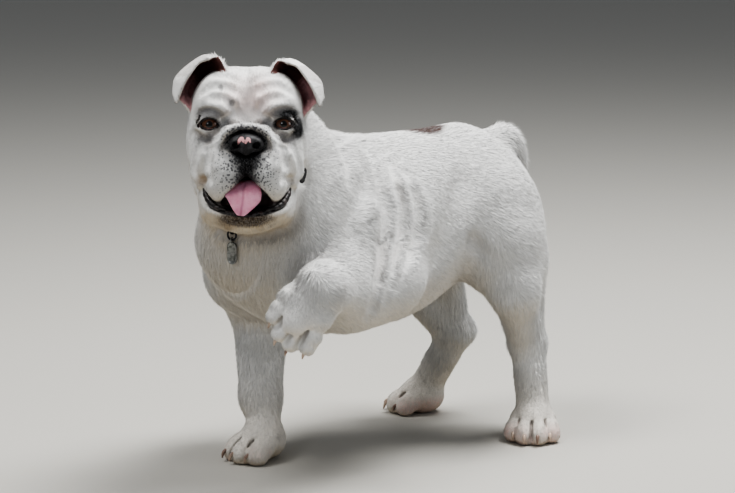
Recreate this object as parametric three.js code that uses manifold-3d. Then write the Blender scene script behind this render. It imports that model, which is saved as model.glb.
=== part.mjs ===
// A young bulldog as a still, life-size model. It stands on three paws, holds the
// left fore paw up and turns its head to its left, with the mouth open.
// Millimetres. The chest faces -Y, the animal's left is +X and up is +Z.
// The flesh is one smooth blend of eggs and tapered bars, skinned on a grid
// and parted into nodes with thin plane cuts.

import * as THREE from 'three';
import { mergeVertices } from 'three/addons/utils/BufferGeometryUtils.js';
import Module from 'manifold-3d';

const wasm = await Module();
wasm.setup();

// Gap between nodes, and the grid of each region
const GAP = 0.3;
const SWELL = 0.9;
const TRUNK_CELL = 22;
const LIMB_CELL = 15;
const PAW_CELL = 8.8;
const TAIL_CELL = 12;
const SKULL_CELL = 12.5;
const MUZZLE_CELL = 7;
const JAW_CELL = 10;

// Trunk
const CHEST = { at: [0, -82, 236], size: [86, 94, 98] };
const FORECHEST = { at: [-12, -130, 240], size: [79, 76, 68] };
const RIBS = { at: [0, -5, 236], size: [86, 120, 98] };
const LOIN = { at: [0, 82, 254], size: [73, 100, 76] };
const PELVIS = { at: [0, 130, 258], size: [70, 64, 74] };
const SPINE = { from: [0, -60, 304], to: [0, 110, 307], radii: [24, 29] };
const NECK = { from: [0, -88, 270], to: [6, -158, 321], radii: [76, 68] };
const SHOULDER = { at: [62, -100, 226], size: [38, 54, 78], tilt: 18 };
const NAPE = { at: [10, -150, 350], size: [50, 46, 42] };
const TAIL = { path: [[0, 164, 312], [0, 184, 318], [0, 195, 303], [0, 196, 284]], radii: [19, 15] };
const TRUNK_BLEND = 30;

// Legs. Turn is the way the toes point, from -Y towards the animal's left.
const HIND_LEFT = {
  hip: [58, 130, 216], knee: [80, 130, 169], ankle: [62, 162, 106], shank: [24, 18],
  ham: [52, 134, 228], calf: [58, 162, 192], heel: [56, 180, 106], hock: [54, 184, 99],
  pastern: [60, 170, 98], paw: [84, 156], turn: 44, toe: [20, 11, 12],
};
const HIND_RIGHT = {
  hip: [-58, 120, 216], knee: [-80, 108, 166], ankle: [-60, 152, 102], shank: [24, 17],
  ham: [-52, 132, 230], calf: [-56, 138, 184], heel: [-52, 167, 104], hock: [-50, 174, 98],
  pastern: [-54, 164, 96], paw: [-90, 139], turn: -42, toe: [20, 11, 12],
};
const FORE_RIGHT = {
  shoulder: [-72, -118, 195], elbow: [-90, -84, 160], wrist: [-56, -110, 62],
  paw: [-38, -126], turn: -8, toe: [22, 12, 12.5],
};
const FORE_LEFT = {
  shoulder: [78, -118, 205], elbow: [92, -80, 194], wrist: [114, -158, 210],
  knuckles: [104, -188, 178], toes: [[97, -203, 180], [99, -202, 163], [104, -193, 152], [114, -182, 151]],
};
const HAM_SIZE = [36, 55, 66];
const TOE_RISE = 10.5;

// Head, in its own frame: the face looks along -Y and its left is +X
const HEAD_AT = [28, -186, 350];
const HEAD_TURN = [-8, 0, 53];
const EYE = { at: [36.5, -30, 17], radius: 12.6 };
const EYE_OPENING = { halfWidth: 10.6, above: 8, below: 7 };
const NOSE = { at: [0, -60, -1], size: [17, 11.5, 10.5] };
const NOSTRIL = { at: [10.5, -69.5, -3], size: [4.6, 6, 3.2] };

// Worn things. Each point of the strap is followed by how far it stands out of
// the skin: loose folds close over it under the chin and along the left cheek.
const COLLAR = {
  width: 11,
  depth: 3.6,
  path: [
    [15, -206, 267, -2.5], [32, -199, 260, -2.5], [50, -185, 258, -2.5], [66, -168, 263, -2.5],
    [75, -156, 282, -2.5], [76, -152, 304, -2.5], [74, -147, 322, -1], [71, -141, 335, 1],
    [64, -131, 349, -1.5], [48, -119, 361, -0.5], [22, -108, 368, 2.4], [-8, -108, 366, 2.6],
    [-42, -124, 352, 2.6], [-66, -148, 326, 2.6], [-68, -174, 305, 2.4], [-52, -194, 288, 0.5],
    [-28, -204, 275, -2.5], [-6, -208, 271, -2.5],
  ],
};
const LOOP = { at: [24, -203, 262], out: 1.4, radius: 4.4, wire: 1.2 };
const RING = { out: 2.9, radius: 4.9, wire: 1.1 };
const TAG = { width: 11, height: 23, depth: 2, eye: 2.4, wire: 0.8 };

// Looks
const COAT = { color: 0xe9e4dc, roughness: 0.85, metalness: 0 };
const PAW_COAT = { color: 0xe6dcd2, roughness: 0.85, metalness: 0 };
const EAR_COAT = { color: 0xd8cdc6, roughness: 0.85, metalness: 0 };
const NOSE_SKIN = { color: 0x1c1b1e, roughness: 0.42, metalness: 0 };
const TONGUE_SKIN = { color: 0xd08aa6, roughness: 0.45, metalness: 0 };
const EYE_GLOSS = { color: 0x2a1810, roughness: 0.08, metalness: 0 };
const HORN = { color: 0xc9b7a6, roughness: 0.5, metalness: 0 };
const STRAP = { color: 0x151517, roughness: 0.7, metalness: 0 };
const WIRE = { color: 0x1a1a1c, roughness: 0.35, metalness: 0.9 };
const PEWTER = { color: 0x8f908c, roughness: 0.4, metalness: 0.9 };

const SIDES = [1, -1];
const rad = THREE.MathUtils.degToRad;
const vec = (p) => new THREE.Vector3(...p);
const side = (s, p) => [s * p[0], p[1], p[2]];

// Forms: each gives its centre, its reach and a distance that is negative inside

function softMin(a, b, k) {
  const h = Math.max(k - Math.abs(a - b), 0) / k;
  return Math.min(a, b) - h * h * k * 0.25;
}

function egg(at, size, turn = [0, 0, 0]) {
  const euler = new THREE.Euler(...turn.map(rad), 'ZYX');
  const m = new THREE.Matrix4().makeRotationFromEuler(euler).invert().elements;
  const [rx, ry, rz] = size;
  return {
    at,
    reach: Math.max(rx, ry, rz) * 1.5,
    distance(x, y, z) {
      const dx = x - at[0];
      const dy = y - at[1];
      const dz = z - at[2];
      const ax = (m[0] * dx + m[4] * dy + m[8] * dz) / rx;
      const ay = (m[1] * dx + m[5] * dy + m[9] * dz) / ry;
      const az = (m[2] * dx + m[6] * dy + m[10] * dz) / rz;
      const near = Math.hypot(ax, ay, az);
      const slope = Math.hypot(ax / rx, ay / ry, az / rz);
      return slope < 1e-9 ? -Math.min(rx, ry, rz) : near * (near - 1) / slope;
    },
  };
}

// A round cone between two balls
function bar(from, to, [r0, r1]) {
  const axis = vec(to).sub(vec(from));
  const length = axis.length();
  const [ux, uy, uz] = axis.divideScalar(length).toArray();
  const taper = (r1 - r0) / length;
  const lean = taper / Math.sqrt(Math.max(1 - taper * taper, 0.05));
  return {
    at: from.map((v, i) => (v + to[i]) / 2),
    reach: length / 2 + Math.max(r0, r1),
    distance(x, y, z) {
      const px = x - from[0];
      const py = y - from[1];
      const pz = z - from[2];
      const along = px * ux + py * uy + pz * uz;
      const out = Math.sqrt(Math.max(px * px + py * py + pz * pz - along * along, 0));
      const s = Math.min(Math.max(along + lean * out, 0), length);
      return Math.hypot(out, along - s) - (r0 + taper * s);
    },
  };
}

// A bar along a smooth path
function cord(path, [r0, r1], steps = 14) {
  const points = new THREE.CatmullRomCurve3(path.map(vec)).getPoints(steps);
  const pieces = points.slice(1).map((p, i) => bar(points[i].toArray(), p.toArray(), [
    THREE.MathUtils.lerp(r0, r1, i / steps), THREE.MathUtils.lerp(r0, r1, (i + 1) / steps)]));
  const sphere = new THREE.Sphere().setFromPoints(points);
  return {
    at: sphere.center.toArray(),
    reach: sphere.radius + Math.max(r0, r1),
    distance: (x, y, z) => Math.min(...pieces.map((p) => p.distance(x, y, z))),
  };
}

// Layers are [form, blend] to add and [form, blend, 'cut'] to take away.
// A mirrored sculpt is shaped on the left side only.
function sculpt(layers, mirrored = false) {
  return (px, y, z) => {
    const x = mirrored ? Math.sqrt(px * px + 4) : px;
    let d = 1000;
    for (const [form, blend, cut] of layers) {
      const far = Math.hypot(x - form.at[0], y - form.at[1], z - form.at[2]) - form.reach;
      if (!cut && far < d + blend) d = softMin(d, form.distance(x, y, z), blend);
      if (cut && far < blend - d) d = -softMin(-d, form.distance(x, y, z), blend);
    }
    return d;
  };
}

// Grid cell: corner c is at x = c & 1, y = (c >> 1) & 1, z = c >> 2. Edges run
// along x, then y, then z.
const CORNERS = [0, 1, 2, 3, 4, 5, 6, 7].map((c) => [c & 1, (c >> 1) & 1, c >> 2]);
const EDGES = [1, 2, 4].flatMap((step) => CORNERS.map((_, c) => [c, c + step]).filter(([c]) => !(c & step)));
const FACES = [[0, 2, 6, 4], [1, 3, 7, 5], [0, 1, 5, 4], [2, 3, 7, 6], [0, 1, 3, 2], [4, 5, 7, 6]];
const edgeOf = (a, b) => EDGES.findIndex(([p, q]) => p === Math.min(a, b) && q === Math.max(a, b));
const FACE_EDGES = FACES.map((f) => f.map((c, i) => edgeOf(c, f[(i + 1) % 4])));

// Groups the crossed edges of a cell into the separate sheets that pass through it
function sheets(v) {
  const group = EDGES.map(([a, b], e) => ((v[a] < 0) !== (v[b] < 0) ? e : -1));
  const join = (a, b) => {
    const [keep, drop] = [group[a], group[b]];
    group.forEach((g, e) => {
      if (g === drop) group[e] = keep;
    });
  };
  FACES.forEach((corners, f) => {
    const crossed = FACE_EDGES[f].filter((e) => group[e] >= 0);
    if (crossed.length === 2) join(...crossed);
    if (crossed.length === 4) {
      corners.forEach((c, i) => {
        if (v[c] < 0) join(FACE_EDGES[f][i], FACE_EDGES[f][(i + 3) % 4]);
      });
    }
  });
  return group;
}

// Skin of a field: each grid cell has one vertex for each sheet of the surface
// in it, pulled onto the surface. Swell moves the finished skin outwards.
function skin(field, low, high, cell, swell = 0) {
  const [nx, ny, nz] = low.map((v, i) => Math.ceil((high[i] - v) / cell) + 1);
  const id = (i, j, k) => (k * ny + j) * nx + i;
  const value = new Float64Array(nx * ny * nz);
  const rim = (n, i) => i === 0 || i === n - 1;
  for (let k = 0; k < nz; k += 1) {
    for (let j = 0; j < ny; j += 1) {
      for (let i = 0; i < nx; i += 1) {
        const d = field(low[0] + i * cell, low[1] + j * cell, low[2] + k * cell);
        value[id(i, j, k)] = rim(nx, i) || rim(ny, j) || rim(nz, k) ? Math.max(d, cell * 0.3) : d;
      }
    }
  }
  const owner = new Map();
  const points = [];
  for (let k = 0; k < nz - 1; k += 1) {
    for (let j = 0; j < ny - 1; j += 1) {
      for (let i = 0; i < nx - 1; i += 1) {
        const v = CORNERS.map(([a, b, c]) => value[id(i + a, j + b, k + c)]);
        const inside = v.filter((d) => d < 0).length;
        if (inside === 0 || inside === 8) continue;
        const group = sheets(v);
        const vertex = new Int32Array(12).fill(-1);
        for (const g of new Set(group.filter((e) => e >= 0))) {
          const members = EDGES.map((_, e) => e).filter((e) => group[e] === g);
          const mean = [0, 1, 2].map((c) => members.reduce((sum, e) => {
            const [a, b] = EDGES[e];
            return sum + CORNERS[a][c] + (CORNERS[b][c] - CORNERS[a][c]) * v[a] / (v[a] - v[b]);
          }, 0) / members.length);
          for (const e of members) vertex[e] = points.length;
          points.push([i, j, k].map((n, c) => low[c] + (n + mean[c]) * cell));
        }
        owner.set(id(i, j, k), vertex);
      }
    }
  }
  const slope = (x, y, z, h) => [
    (field(x + h, y, z) - field(x - h, y, z)) / (2 * h),
    (field(x, y + h, z) - field(x, y - h, z)) / (2 * h),
    (field(x, y, z + h) - field(x, y, z - h)) / (2 * h),
  ];
  for (const p of points) {
    for (let turn = 0; turn < 3; turn += 1) {
      const d = THREE.MathUtils.clamp(field(...p), -cell / 2, cell / 2);
      const g = slope(...p, 0.5);
      const step = d / Math.max(g[0] ** 2 + g[1] ** 2 + g[2] ** 2, 0.25);
      for (let c = 0; c < 3; c += 1) p[c] -= g[c] * step;
    }
    if (swell) {
      const n = vec(slope(...p, 0.5)).normalize().toArray();
      for (let c = 0; c < 3; c += 1) p[c] += n[c] * swell;
    }
  }
  const index = [];
  const apart = (a, b) => Math.hypot(...points[a].map((v, c) => v - points[b][c]));
  const quad = (ring, inward) => {
    const [a, b, c, d] = inward ? ring.reverse() : ring;
    if (apart(a, c) < apart(b, d)) index.push(a, b, c, a, c, d);
    else index.push(a, b, d, b, c, d);
  };
  const ring = [[1, 1], [0, 1], [0, 0], [1, 0]];
  for (let k = 0; k < nz - 1; k += 1) {
    for (let j = 0; j < ny - 1; j += 1) {
      for (let i = 0; i < nx - 1; i += 1) {
        const inside = value[id(i, j, k)] < 0;
        const crosses = (a, b, c) => inside !== value[id(i + a, j + b, k + c)] < 0;
        const own = (a, b, c, e) => owner.get(id(i - a, j - b, k - c))[e];
        if (crosses(1, 0, 0)) quad(ring.map(([b, c]) => own(0, b, c, b + 2 * c)), !inside);
        if (crosses(0, 1, 0)) quad(ring.map(([a, c]) => own(a, 0, c, 4 + a + 2 * c)), inside);
        if (crosses(0, 0, 1)) quad(ring.map(([a, b]) => own(a, b, 0, 8 + a + 2 * b)), !inside);
      }
    }
  }
  const geometry = new THREE.BufferGeometry();
  geometry.setAttribute('position', new THREE.Float32BufferAttribute(points.flat(), 3));
  geometry.setIndex(index);
  return geometry;
}

// Closed solids from three.js geometry

function solid(geometry, matrix = null) {
  const g = geometry.clone();
  if (matrix) g.applyMatrix4(matrix);
  g.deleteAttribute('normal');
  g.deleteAttribute('uv');
  const welded = mergeVertices(g, 1e-4);
  return new wasm.Manifold(new wasm.Mesh({
    numProp: 3,
    vertProperties: new Float32Array(welded.attributes.position.array),
    triVerts: new Uint32Array(welded.index.array),
  }));
}

// A place, turned so that its Z axis points along the given way
function facingPlace(at, way) {
  const turn = new THREE.Quaternion().setFromUnitVectors(vec([0, 0, 1]), vec(way).normalize());
  return new THREE.Matrix4().compose(at, turn, vec([1, 1, 1]));
}

function halfSpace(point, normal, slack = 0) {
  const span = 1400;
  const at = vec(point).addScaledVector(vec(normal).normalize(), span / 2 - slack);
  return solid(new THREE.BoxGeometry(span, span, span), facingPlace(at, normal));
}

function region(planes, slack = 0) {
  return planes.map(([point, normal]) => halfSpace(point, normal, slack)).reduce((a, b) => a.intersect(b));
}

function block(at, size, slack = 0) {
  const [a, b, c] = size.map((v) => v + 2 * slack);
  return solid(new THREE.BoxGeometry(a, b, c), new THREE.Matrix4().makeTranslation(...at));
}

function ball(at, size, segments = [18, 12]) {
  const m = new THREE.Matrix4().compose(vec(at), new THREE.Quaternion(), vec(size));
  return solid(new THREE.SphereGeometry(1, ...segments), m);
}

// A tube of changing radius with closed ends. Its sides are set out from the
// direction across, in which it may be wide.
function tube(path, radii, sides, steps, across = [0, 1, 0], wide = 1) {
  const curve = new THREE.CatmullRomCurve3(path.map(vec));
  const points = [];
  for (let i = 0; i <= steps; i += 1) {
    const at = curve.getPointAt(i / steps);
    const ahead = curve.getTangentAt(i / steps);
    const x = vec(across).addScaledVector(ahead, -vec(across).dot(ahead)).normalize();
    const y = ahead.clone().cross(x);
    const t = (i / steps) * (radii.length - 1);
    const low = Math.min(Math.floor(t), radii.length - 2);
    const r = THREE.MathUtils.lerp(radii[low], radii[low + 1], t - low);
    for (let j = 0; j < sides; j += 1) {
      const a = (j / sides) * Math.PI * 2;
      points.push(at.clone().addScaledVector(x, Math.cos(a) * r * wide).addScaledVector(y, Math.sin(a) * r));
    }
  }
  points.push(curve.getPointAt(0), curve.getPointAt(1));
  const index = [];
  for (let i = 0; i < steps; i += 1) {
    for (let j = 0; j < sides; j += 1) {
      const a = i * sides + j;
      const b = i * sides + (j + 1) % sides;
      index.push(a, b, a + sides, b, b + sides, a + sides);
    }
  }
  const last = steps * sides;
  for (let j = 0; j < sides; j += 1) {
    index.push(points.length - 2, (j + 1) % sides, j);
    index.push(points.length - 1, last + j, last + (j + 1) % sides);
  }
  const geometry = new THREE.BufferGeometry().setFromPoints(points);
  geometry.setIndex(index);
  return geometry;
}

// A shell between two sides of a lofted sheet
function shell(rows, across, along, thickness) {
  const sheet = rows.map((row) => new THREE.CatmullRomCurve3(row.map(vec)));
  const at = (u, v) => new THREE.CatmullRomCurve3(sheet.map((c) => c.getPoint(u))).getPoint(v);
  const grid = [];
  const normals = [];
  for (let j = 0; j <= along; j += 1) {
    for (let i = 0; i <= across; i += 1) {
      const [u, v] = [i / across, j / along];
      const du = at(Math.min(u + 0.02, 1), v).sub(at(Math.max(u - 0.02, 0), v));
      const dv = at(u, Math.min(v + 0.02, 1)).sub(at(u, Math.max(v - 0.02, 0)));
      grid.push(at(u, v));
      normals.push(du.cross(dv).normalize());
    }
  }
  const half = (j) => THREE.MathUtils.lerp(thickness[0], thickness[1], j / along) / 2;
  const rowOf = (n) => Math.floor(n / (across + 1));
  const points = [
    ...grid.map((p, n) => p.clone().addScaledVector(normals[n], half(rowOf(n)))),
    ...grid.map((p, n) => p.clone().addScaledVector(normals[n], -half(rowOf(n)))),
  ];
  const back = grid.length;
  const index = [];
  const spot = (i, j) => j * (across + 1) + i;
  for (let j = 0; j < along; j += 1) {
    for (let i = 0; i < across; i += 1) {
      const [a, b, c, d] = [spot(i, j), spot(i + 1, j), spot(i + 1, j + 1), spot(i, j + 1)];
      index.push(a, b, c, a, c, d, back + a, back + c, back + b, back + a, back + d, back + c);
    }
  }
  const edge = [];
  for (let i = 0; i < across; i += 1) edge.push(spot(i, 0));
  for (let j = 0; j < along; j += 1) edge.push(spot(across, j));
  for (let i = across; i > 0; i -= 1) edge.push(spot(i, along));
  for (let j = along; j > 0; j -= 1) edge.push(spot(0, j));
  edge.forEach((a, n) => {
    const b = edge[(n + 1) % edge.length];
    index.push(a, back + a, back + b, a, back + b, b);
  });
  const geometry = new THREE.BufferGeometry().setFromPoints(points);
  geometry.setIndex(index);
  return geometry;
}

// Flesh of the body

// A point of a standing paw: sideways, forwards and up from its middle
function onPaw({ paw, turn }, across, forward, up) {
  const c = Math.cos(rad(turn));
  const s = Math.sin(rad(turn));
  return [paw[0] + across * c + forward * s, paw[1] + across * s - forward * c, up];
}

// How far each toe is to the side and ahead, and its radius
function toeRows({ toe: [spread, outer, inner] }) {
  const middle = spread * 0.36;
  return [[-spread, 14, outer], [-middle, 24, inner], [middle, 24, inner], [spread, 14, outer]];
}

function pawLayers(leg, from) {
  const layers = [
    [bar(from, onPaw(leg, 0, -8, 28), [19.5, 19]), 14],
    [egg(onPaw(leg, 0, -2, 19), [leg.toe[0] + 3, 27, 20], [0, 0, leg.turn]), 12],
  ];
  for (const [across, forward, r] of toeRows(leg)) {
    const root = onPaw(leg, across * 0.75, forward - 18, TOE_RISE + 12);
    layers.push([bar(root, onPaw(leg, across, forward, TOE_RISE), [r, r]), 5]);
  }
  return layers;
}

const thigh = (leg) => [
  [egg(leg.ham, HAM_SIZE), 26],
  [bar(leg.hip, leg.knee, [42, 25]), 22],
  [bar(leg.knee, leg.ankle, leg.shank), 18],
  [bar(leg.calf, leg.heel, [26, 12]), 20],
];

const hindFoot = (leg) => [[egg(leg.hock, [12, 12, 13]), 10], ...pawLayers(leg, leg.pastern)];

const foreArm = (leg, shoulder, elbow) => [
  [bar(leg.shoulder, leg.elbow, shoulder), 24],
  [bar(leg.elbow, leg.wrist, elbow), 20],
];

const raisedRoot = (i) => [110 + i * 3, -180 + i * 2, 188 - i * 2];

const raisedPawLayers = [
  [bar(FORE_LEFT.wrist, FORE_LEFT.knuckles, [24, 20]), 14],
  ...FORE_LEFT.toes.map((tip, i) => [bar(raisedRoot(i), tip, [11, 10]), 5]),
];

const trunk = [
  [egg(CHEST.at, CHEST.size), 1],
  ...[FORECHEST, RIBS, LOIN, PELVIS].map(({ at, size }) => [egg(at, size), TRUNK_BLEND]),
  [bar(SPINE.from, SPINE.to, SPINE.radii), TRUNK_BLEND],
  ...SIDES.map((s) => [egg(side(s, SHOULDER.at), SHOULDER.size, [SHOULDER.tilt, 0, 0]), 24]),
  [bar(NECK.from, NECK.to, NECK.radii), TRUNK_BLEND],
  [egg(NAPE.at, NAPE.size), TRUNK_BLEND],
];

const bulk = [
  ...trunk,
  ...thigh(HIND_LEFT),
  ...thigh(HIND_RIGHT),
  ...foreArm(FORE_RIGHT, [44, 34], [32, 23]),
  ...foreArm(FORE_LEFT, [40, 36], [33, 25]),
  [cord(TAIL.path, TAIL.radii), 16],
];

const body = sculpt([
  ...bulk,
  ...hindFoot(HIND_LEFT),
  ...hindFoot(HIND_RIGHT),
  ...pawLayers(FORE_RIGHT, FORE_RIGHT.wrist),
  ...raisedPawLayers,
]);

// Flesh of the head, left half
const upperHead = sculpt([
  [egg([0, 10, 26], [54, 60, 48]), 1],
  [egg([24, -8, 42], [32, 33, 29]), 18],
  [egg([35, 4, 0], [24, 42, 44]), 18],
  [egg([40, -10, -8], [18, 25, 32]), 12],
  [egg([28, -32, 35], [18, 14, 11], [0, -8, 8]), 12],
  [egg([0, -60, 34], [8, 18, 24]), 20, 'cut'],
  [egg([0, -38, -13], [35, 29, 26]), 10],
  [egg([20.5, -44, -33], [20.5, 26, 28], [0, 5, 0]), 8],
  [cord([[33, -36, 6], [42, -34, -10], [49, -26, -28], [45, -27, -40]], [5, 9]), 7],
  [cord([[33, -40, -28], [32, -48, -7], [20, -55, 8], [0, -57, 13.5]], [6, 8]), 7],
  [egg([0, -56, -54], [20, 30, 19]), 4, 'cut'],
  [egg(EYE.at, [15.5, 15.5, 15]), 5],
], true);

const lowerJaw = sculpt([
  [egg([0, -24, -70], [42, 34, 20]), 1],
  [egg([33, -6, -46], [18, 34, 36]), 14],
  [egg([0, -46, -78], [27, 15, 12]), 10],
  [cord([[42, -16, -48], [37, -36, -60], [22, -54, -68], [0, -58, -70]], [5, 5]), 4],
], true);

const headFrame = new THREE.Matrix4().compose(
  vec(HEAD_AT),
  new THREE.Quaternion().setFromEuler(new THREE.Euler(...HEAD_TURN.map(rad), 'ZYX')),
  vec([1, 1, 1]),
);

// Nodes

const root = new THREE.Group();
root.name = 'bulldog';

function largest(manifold) {
  return manifold.decompose().reduce((a, b) => (b.volume() > a.volume() ? b : a));
}

function place(name, manifold, look) {
  const { vertProperties, triVerts } = largest(manifold).getMesh();
  const geometry = new THREE.BufferGeometry();
  geometry.setAttribute('position', new THREE.BufferAttribute(new Float32Array(vertProperties), 3));
  geometry.setIndex(new THREE.BufferAttribute(new Uint32Array(triVerts), 1));
  geometry.computeVertexNormals();
  const mesh = new THREE.Mesh(geometry, new THREE.MeshStandardMaterial(look));
  mesh.name = name;
  root.add(mesh);
}

// Parting planes: a point and the way into the node
const ABOVE_FLOOR = [[[0, 0, 0], [0, 0, 1]]];
const NECK_SEAM = [[[0, -70, 344], [0, -0.62, 0.78]]];
const FORE_SEAM = (s) => [
  [[s * 60, 0, 215], [s * 0.85, 0, -0.53]], [[0, -38, 0], [0, -1, 0]], [[0, -166, 0], [0, 1, 0]],
];
const HIND_SEAM = (s) => [[[s * 44, 0, 215], [s * 0.82, 0, -0.57]], [[0, 86, 200], [0, 0.97, -0.2]]];
const RAISED_SEAM = [
  [[100, -122, 202], [0.27, -0.93, 0.25]], [[73, -122, 0], [0.98, -0.2, 0]], [[0, 0, 256], [0, 0, -1]],
];
const RAISED_WRIST = [[[113, -166, 204], [-0.1, -0.72, -0.7]]];
const below = (z) => [[[0, 0, z], [0, 0, -1]]];
const above = (z) => [[[0, 0, z], [0, 0, 1]]];
const FORE_ELBOW_Z = 130;
const KNEE_Z = 147;
const WRIST_Z = 50;
const HOCK_Z = 48;
const TAIL_BLOCK = { at: [0, 222, 304], size: [50, 92, 92] };

const bulkField = sculpt(bulk);
const TRUNK_BOX = [[-135, -235, 110], [150, 230, 400]];
const whole = solid(skin(bulkField, ...TRUNK_BOX, TRUNK_CELL));
const legSkin = (low, high, cell) => solid(skin(body, low, high, cell));

// Head first, since the neck is cut to it
const HEAD_BOX = [[-75, -90, -90], [75, 85, 90]];
const MUZZLE_BOX = [[-66, -88, -80], [66, -10, 42]];
const JAW_BOX = [[-70, -80, -105], [70, 60, 10]];
const MUZZLE_SEAM = [
  [[0, -27, 0], [0, -1, 0]], [[0, 0, 24], [0, 0, -1]],
  ...SIDES.map((s) => [[s * 22, 0, 14], [-0.6 * s, 0, -0.8]]),
];
const NAPE_SEAM = [[[0, 40, 0], [0, -0.8, 0.6]]];
const upperGrown = solid(skin(upperHead, ...HEAD_BOX, SKULL_CELL, SWELL)).subtract(region(MUZZLE_SEAM))
  .add(solid(skin(upperHead, ...MUZZLE_BOX, MUZZLE_CELL, SWELL)).intersect(region(MUZZLE_SEAM, GAP)))
  .intersect(region(NAPE_SEAM, GAP));
const jawGrown = solid(skin(lowerJaw, ...JAW_BOX, JAW_CELL, SWELL));

const noseEgg = (grow) => solid(new THREE.SphereGeometry(1, 16, 10), new THREE.Matrix4().compose(
  vec(NOSE.at), new THREE.Quaternion(), vec(NOSE.size.map((v) => v + grow))));
const almond = () => {
  const { halfWidth: w, above: up, below: down } = EYE_OPENING;
  const arc = (h) => (w * w + h * h) / (2 * h);
  const shape = new THREE.Shape();
  const angle = (h) => Math.asin(w / arc(h));
  shape.absarc(0, up - arc(up), arc(up), Math.PI / 2 + angle(up), Math.PI / 2 - angle(up), true);
  shape.absarc(0, arc(down) - down, arc(down), angle(down) - Math.PI / 2, -angle(down) - Math.PI / 2, true);
  return new THREE.ExtrudeGeometry(shape, { depth: 40, bevelEnabled: false, curveSegments: 6 });
};
const eyeSlit = (s) => {
  const m = new THREE.Matrix4().makeTranslation(...side(s, EYE.at));
  return solid(almond(), m.multiply(new THREE.Matrix4().makeRotationX(Math.PI / 2)));
};
const lid = (s, h, out) => {
  const w = EYE_OPENING.halfWidth + 1.4;
  const path = [-1, -0.6, 0, 0.6, 1].map((u) => {
    const z = h * (1 - u * u);
    const x = w * u;
    const y = -Math.sqrt(Math.max((EYE.radius + out) ** 2 - x * x - z * z, 9));
    return [s * EYE.at[0] + x, EYE.at[1] + y, EYE.at[2] + z];
  });
  return solid(tube(path, [0.8, 1.9, 1.9, 0.8], 4, 6));
};

let head = solid(skin(upperHead, ...HEAD_BOX, SKULL_CELL)).intersect(region(NAPE_SEAM));
let muzzle = solid(skin(upperHead, ...MUZZLE_BOX, MUZZLE_CELL));
for (const s of SIDES) {
  const socket = ball(side(s, EYE.at), Array(3).fill(EYE.radius + GAP), [12, 9]);
  head = head.subtract(eyeSlit(s)).add(lid(s, EYE_OPENING.above + 1, 0.6));
  head = head.add(lid(s, -EYE_OPENING.below - 1, 0.6)).subtract(socket);
  muzzle = muzzle.subtract(socket);
  place(s > 0 ? 'eye_left' : 'eye_right',
    ball(side(s, EYE.at), Array(3).fill(EYE.radius), [12, 9]).transform(headFrame.elements), EYE_GLOSS);
}
head = head.subtract(region(MUZZLE_SEAM, GAP)).subtract(noseEgg(GAP));
muzzle = muzzle.intersect(region(MUZZLE_SEAM)).subtract(noseEgg(GAP));
let nose = noseEgg(0);
for (const s of SIDES) nose = nose.subtract(ball(side(s, NOSTRIL.at), NOSTRIL.size, [7, 5]));
place('nose', nose.transform(headFrame.elements), NOSE_SKIN);

const tonguePath = [[0, -26, -52], [0, -44, -48], [-2, -57, -53], [-4.5, -63, -62], [-6.5, -65, -71]];
const tongueSolid = (grow) => {
  const radii = [3.6, 3.6, 3.2, 2.8, 1].map((v) => v + grow);
  const back = tonguePath[0].map((v, i) => v + (i === 1 ? grow : 0));
  const tip = tonguePath[4].map((v, i) => v - (i === 2 ? grow : 0));
  return solid(tube([back, ...tonguePath.slice(1, 4), tip], radii, 10, 7, [1, 0, 0], 5.2));
};
const tongue = tongueSolid(0).subtract(upperGrown);
place('tongue', tongue.transform(headFrame.elements), TONGUE_SKIN);

// Ears: rows run from the root to the folded edge, each from the inner
// front corner round the back of the cup to the outer front corner
const EAR_ROWS = [
  [[22, -18, 62], [34, 2, 64], [46, 12, 54], [55, 8, 40], [57, -10, 27]],
  [[28, -20, 75], [41, 2, 77], [57, 10, 68], [66, 4, 50], [64, -12, 34]],
  [[33, -16, 80], [46, -4, 81], [60, -2, 73], [73, -6, 60], [75, -10, 46]],
  [[40, -24, 78], [50, -22, 74], [58, -24, 64], [65, -22, 53], [72, -17, 36]],
];
const EAR_RIGHT_LIFT = [3, 0, 4];
const earSolid = (s) => {
  const lift = s > 0 ? [0, 0, 0] : EAR_RIGHT_LIFT;
  const rows = EAR_ROWS.map((row) => row.map((p) => side(s, p).map((v, i) => v + lift[i])));
  const sheet = shell(s > 0 ? rows : rows.map((row) => [...row].reverse()), 9, 6, [7, 3.6]);
  return solid(sheet);
};
for (const s of SIDES) {
  const ear = earSolid(s).subtract(upperGrown);
  place(s > 0 ? 'ear_left' : 'ear_right', ear.transform(headFrame.elements), EAR_COAT);
}
place('head', head.transform(headFrame.elements), COAT);
place('muzzle', muzzle.transform(headFrame.elements), COAT);
const jaw = solid(skin(lowerJaw, ...JAW_BOX, JAW_CELL)).subtract(upperGrown);
place('jaw', jaw.subtract(tongueSolid(SWELL)).transform(headFrame.elements), COAT);

// Collar: a strap that follows its path over the skin of the neck

function onSkin(p) {
  const at = vec(p);
  for (let turn = 0; turn < 4; turn += 1) at.addScaledVector(outward(at), -bulkField(...at.toArray()));
  return at;
}

function outward({ x, y, z }) {
  return new THREE.Vector3(
    bulkField(x + 1, y, z) - bulkField(x - 1, y, z),
    bulkField(x, y + 1, z) - bulkField(x, y - 1, z),
    bulkField(x, y, z + 1) - bulkField(x, y, z - 1),
  ).normalize();
}

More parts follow.
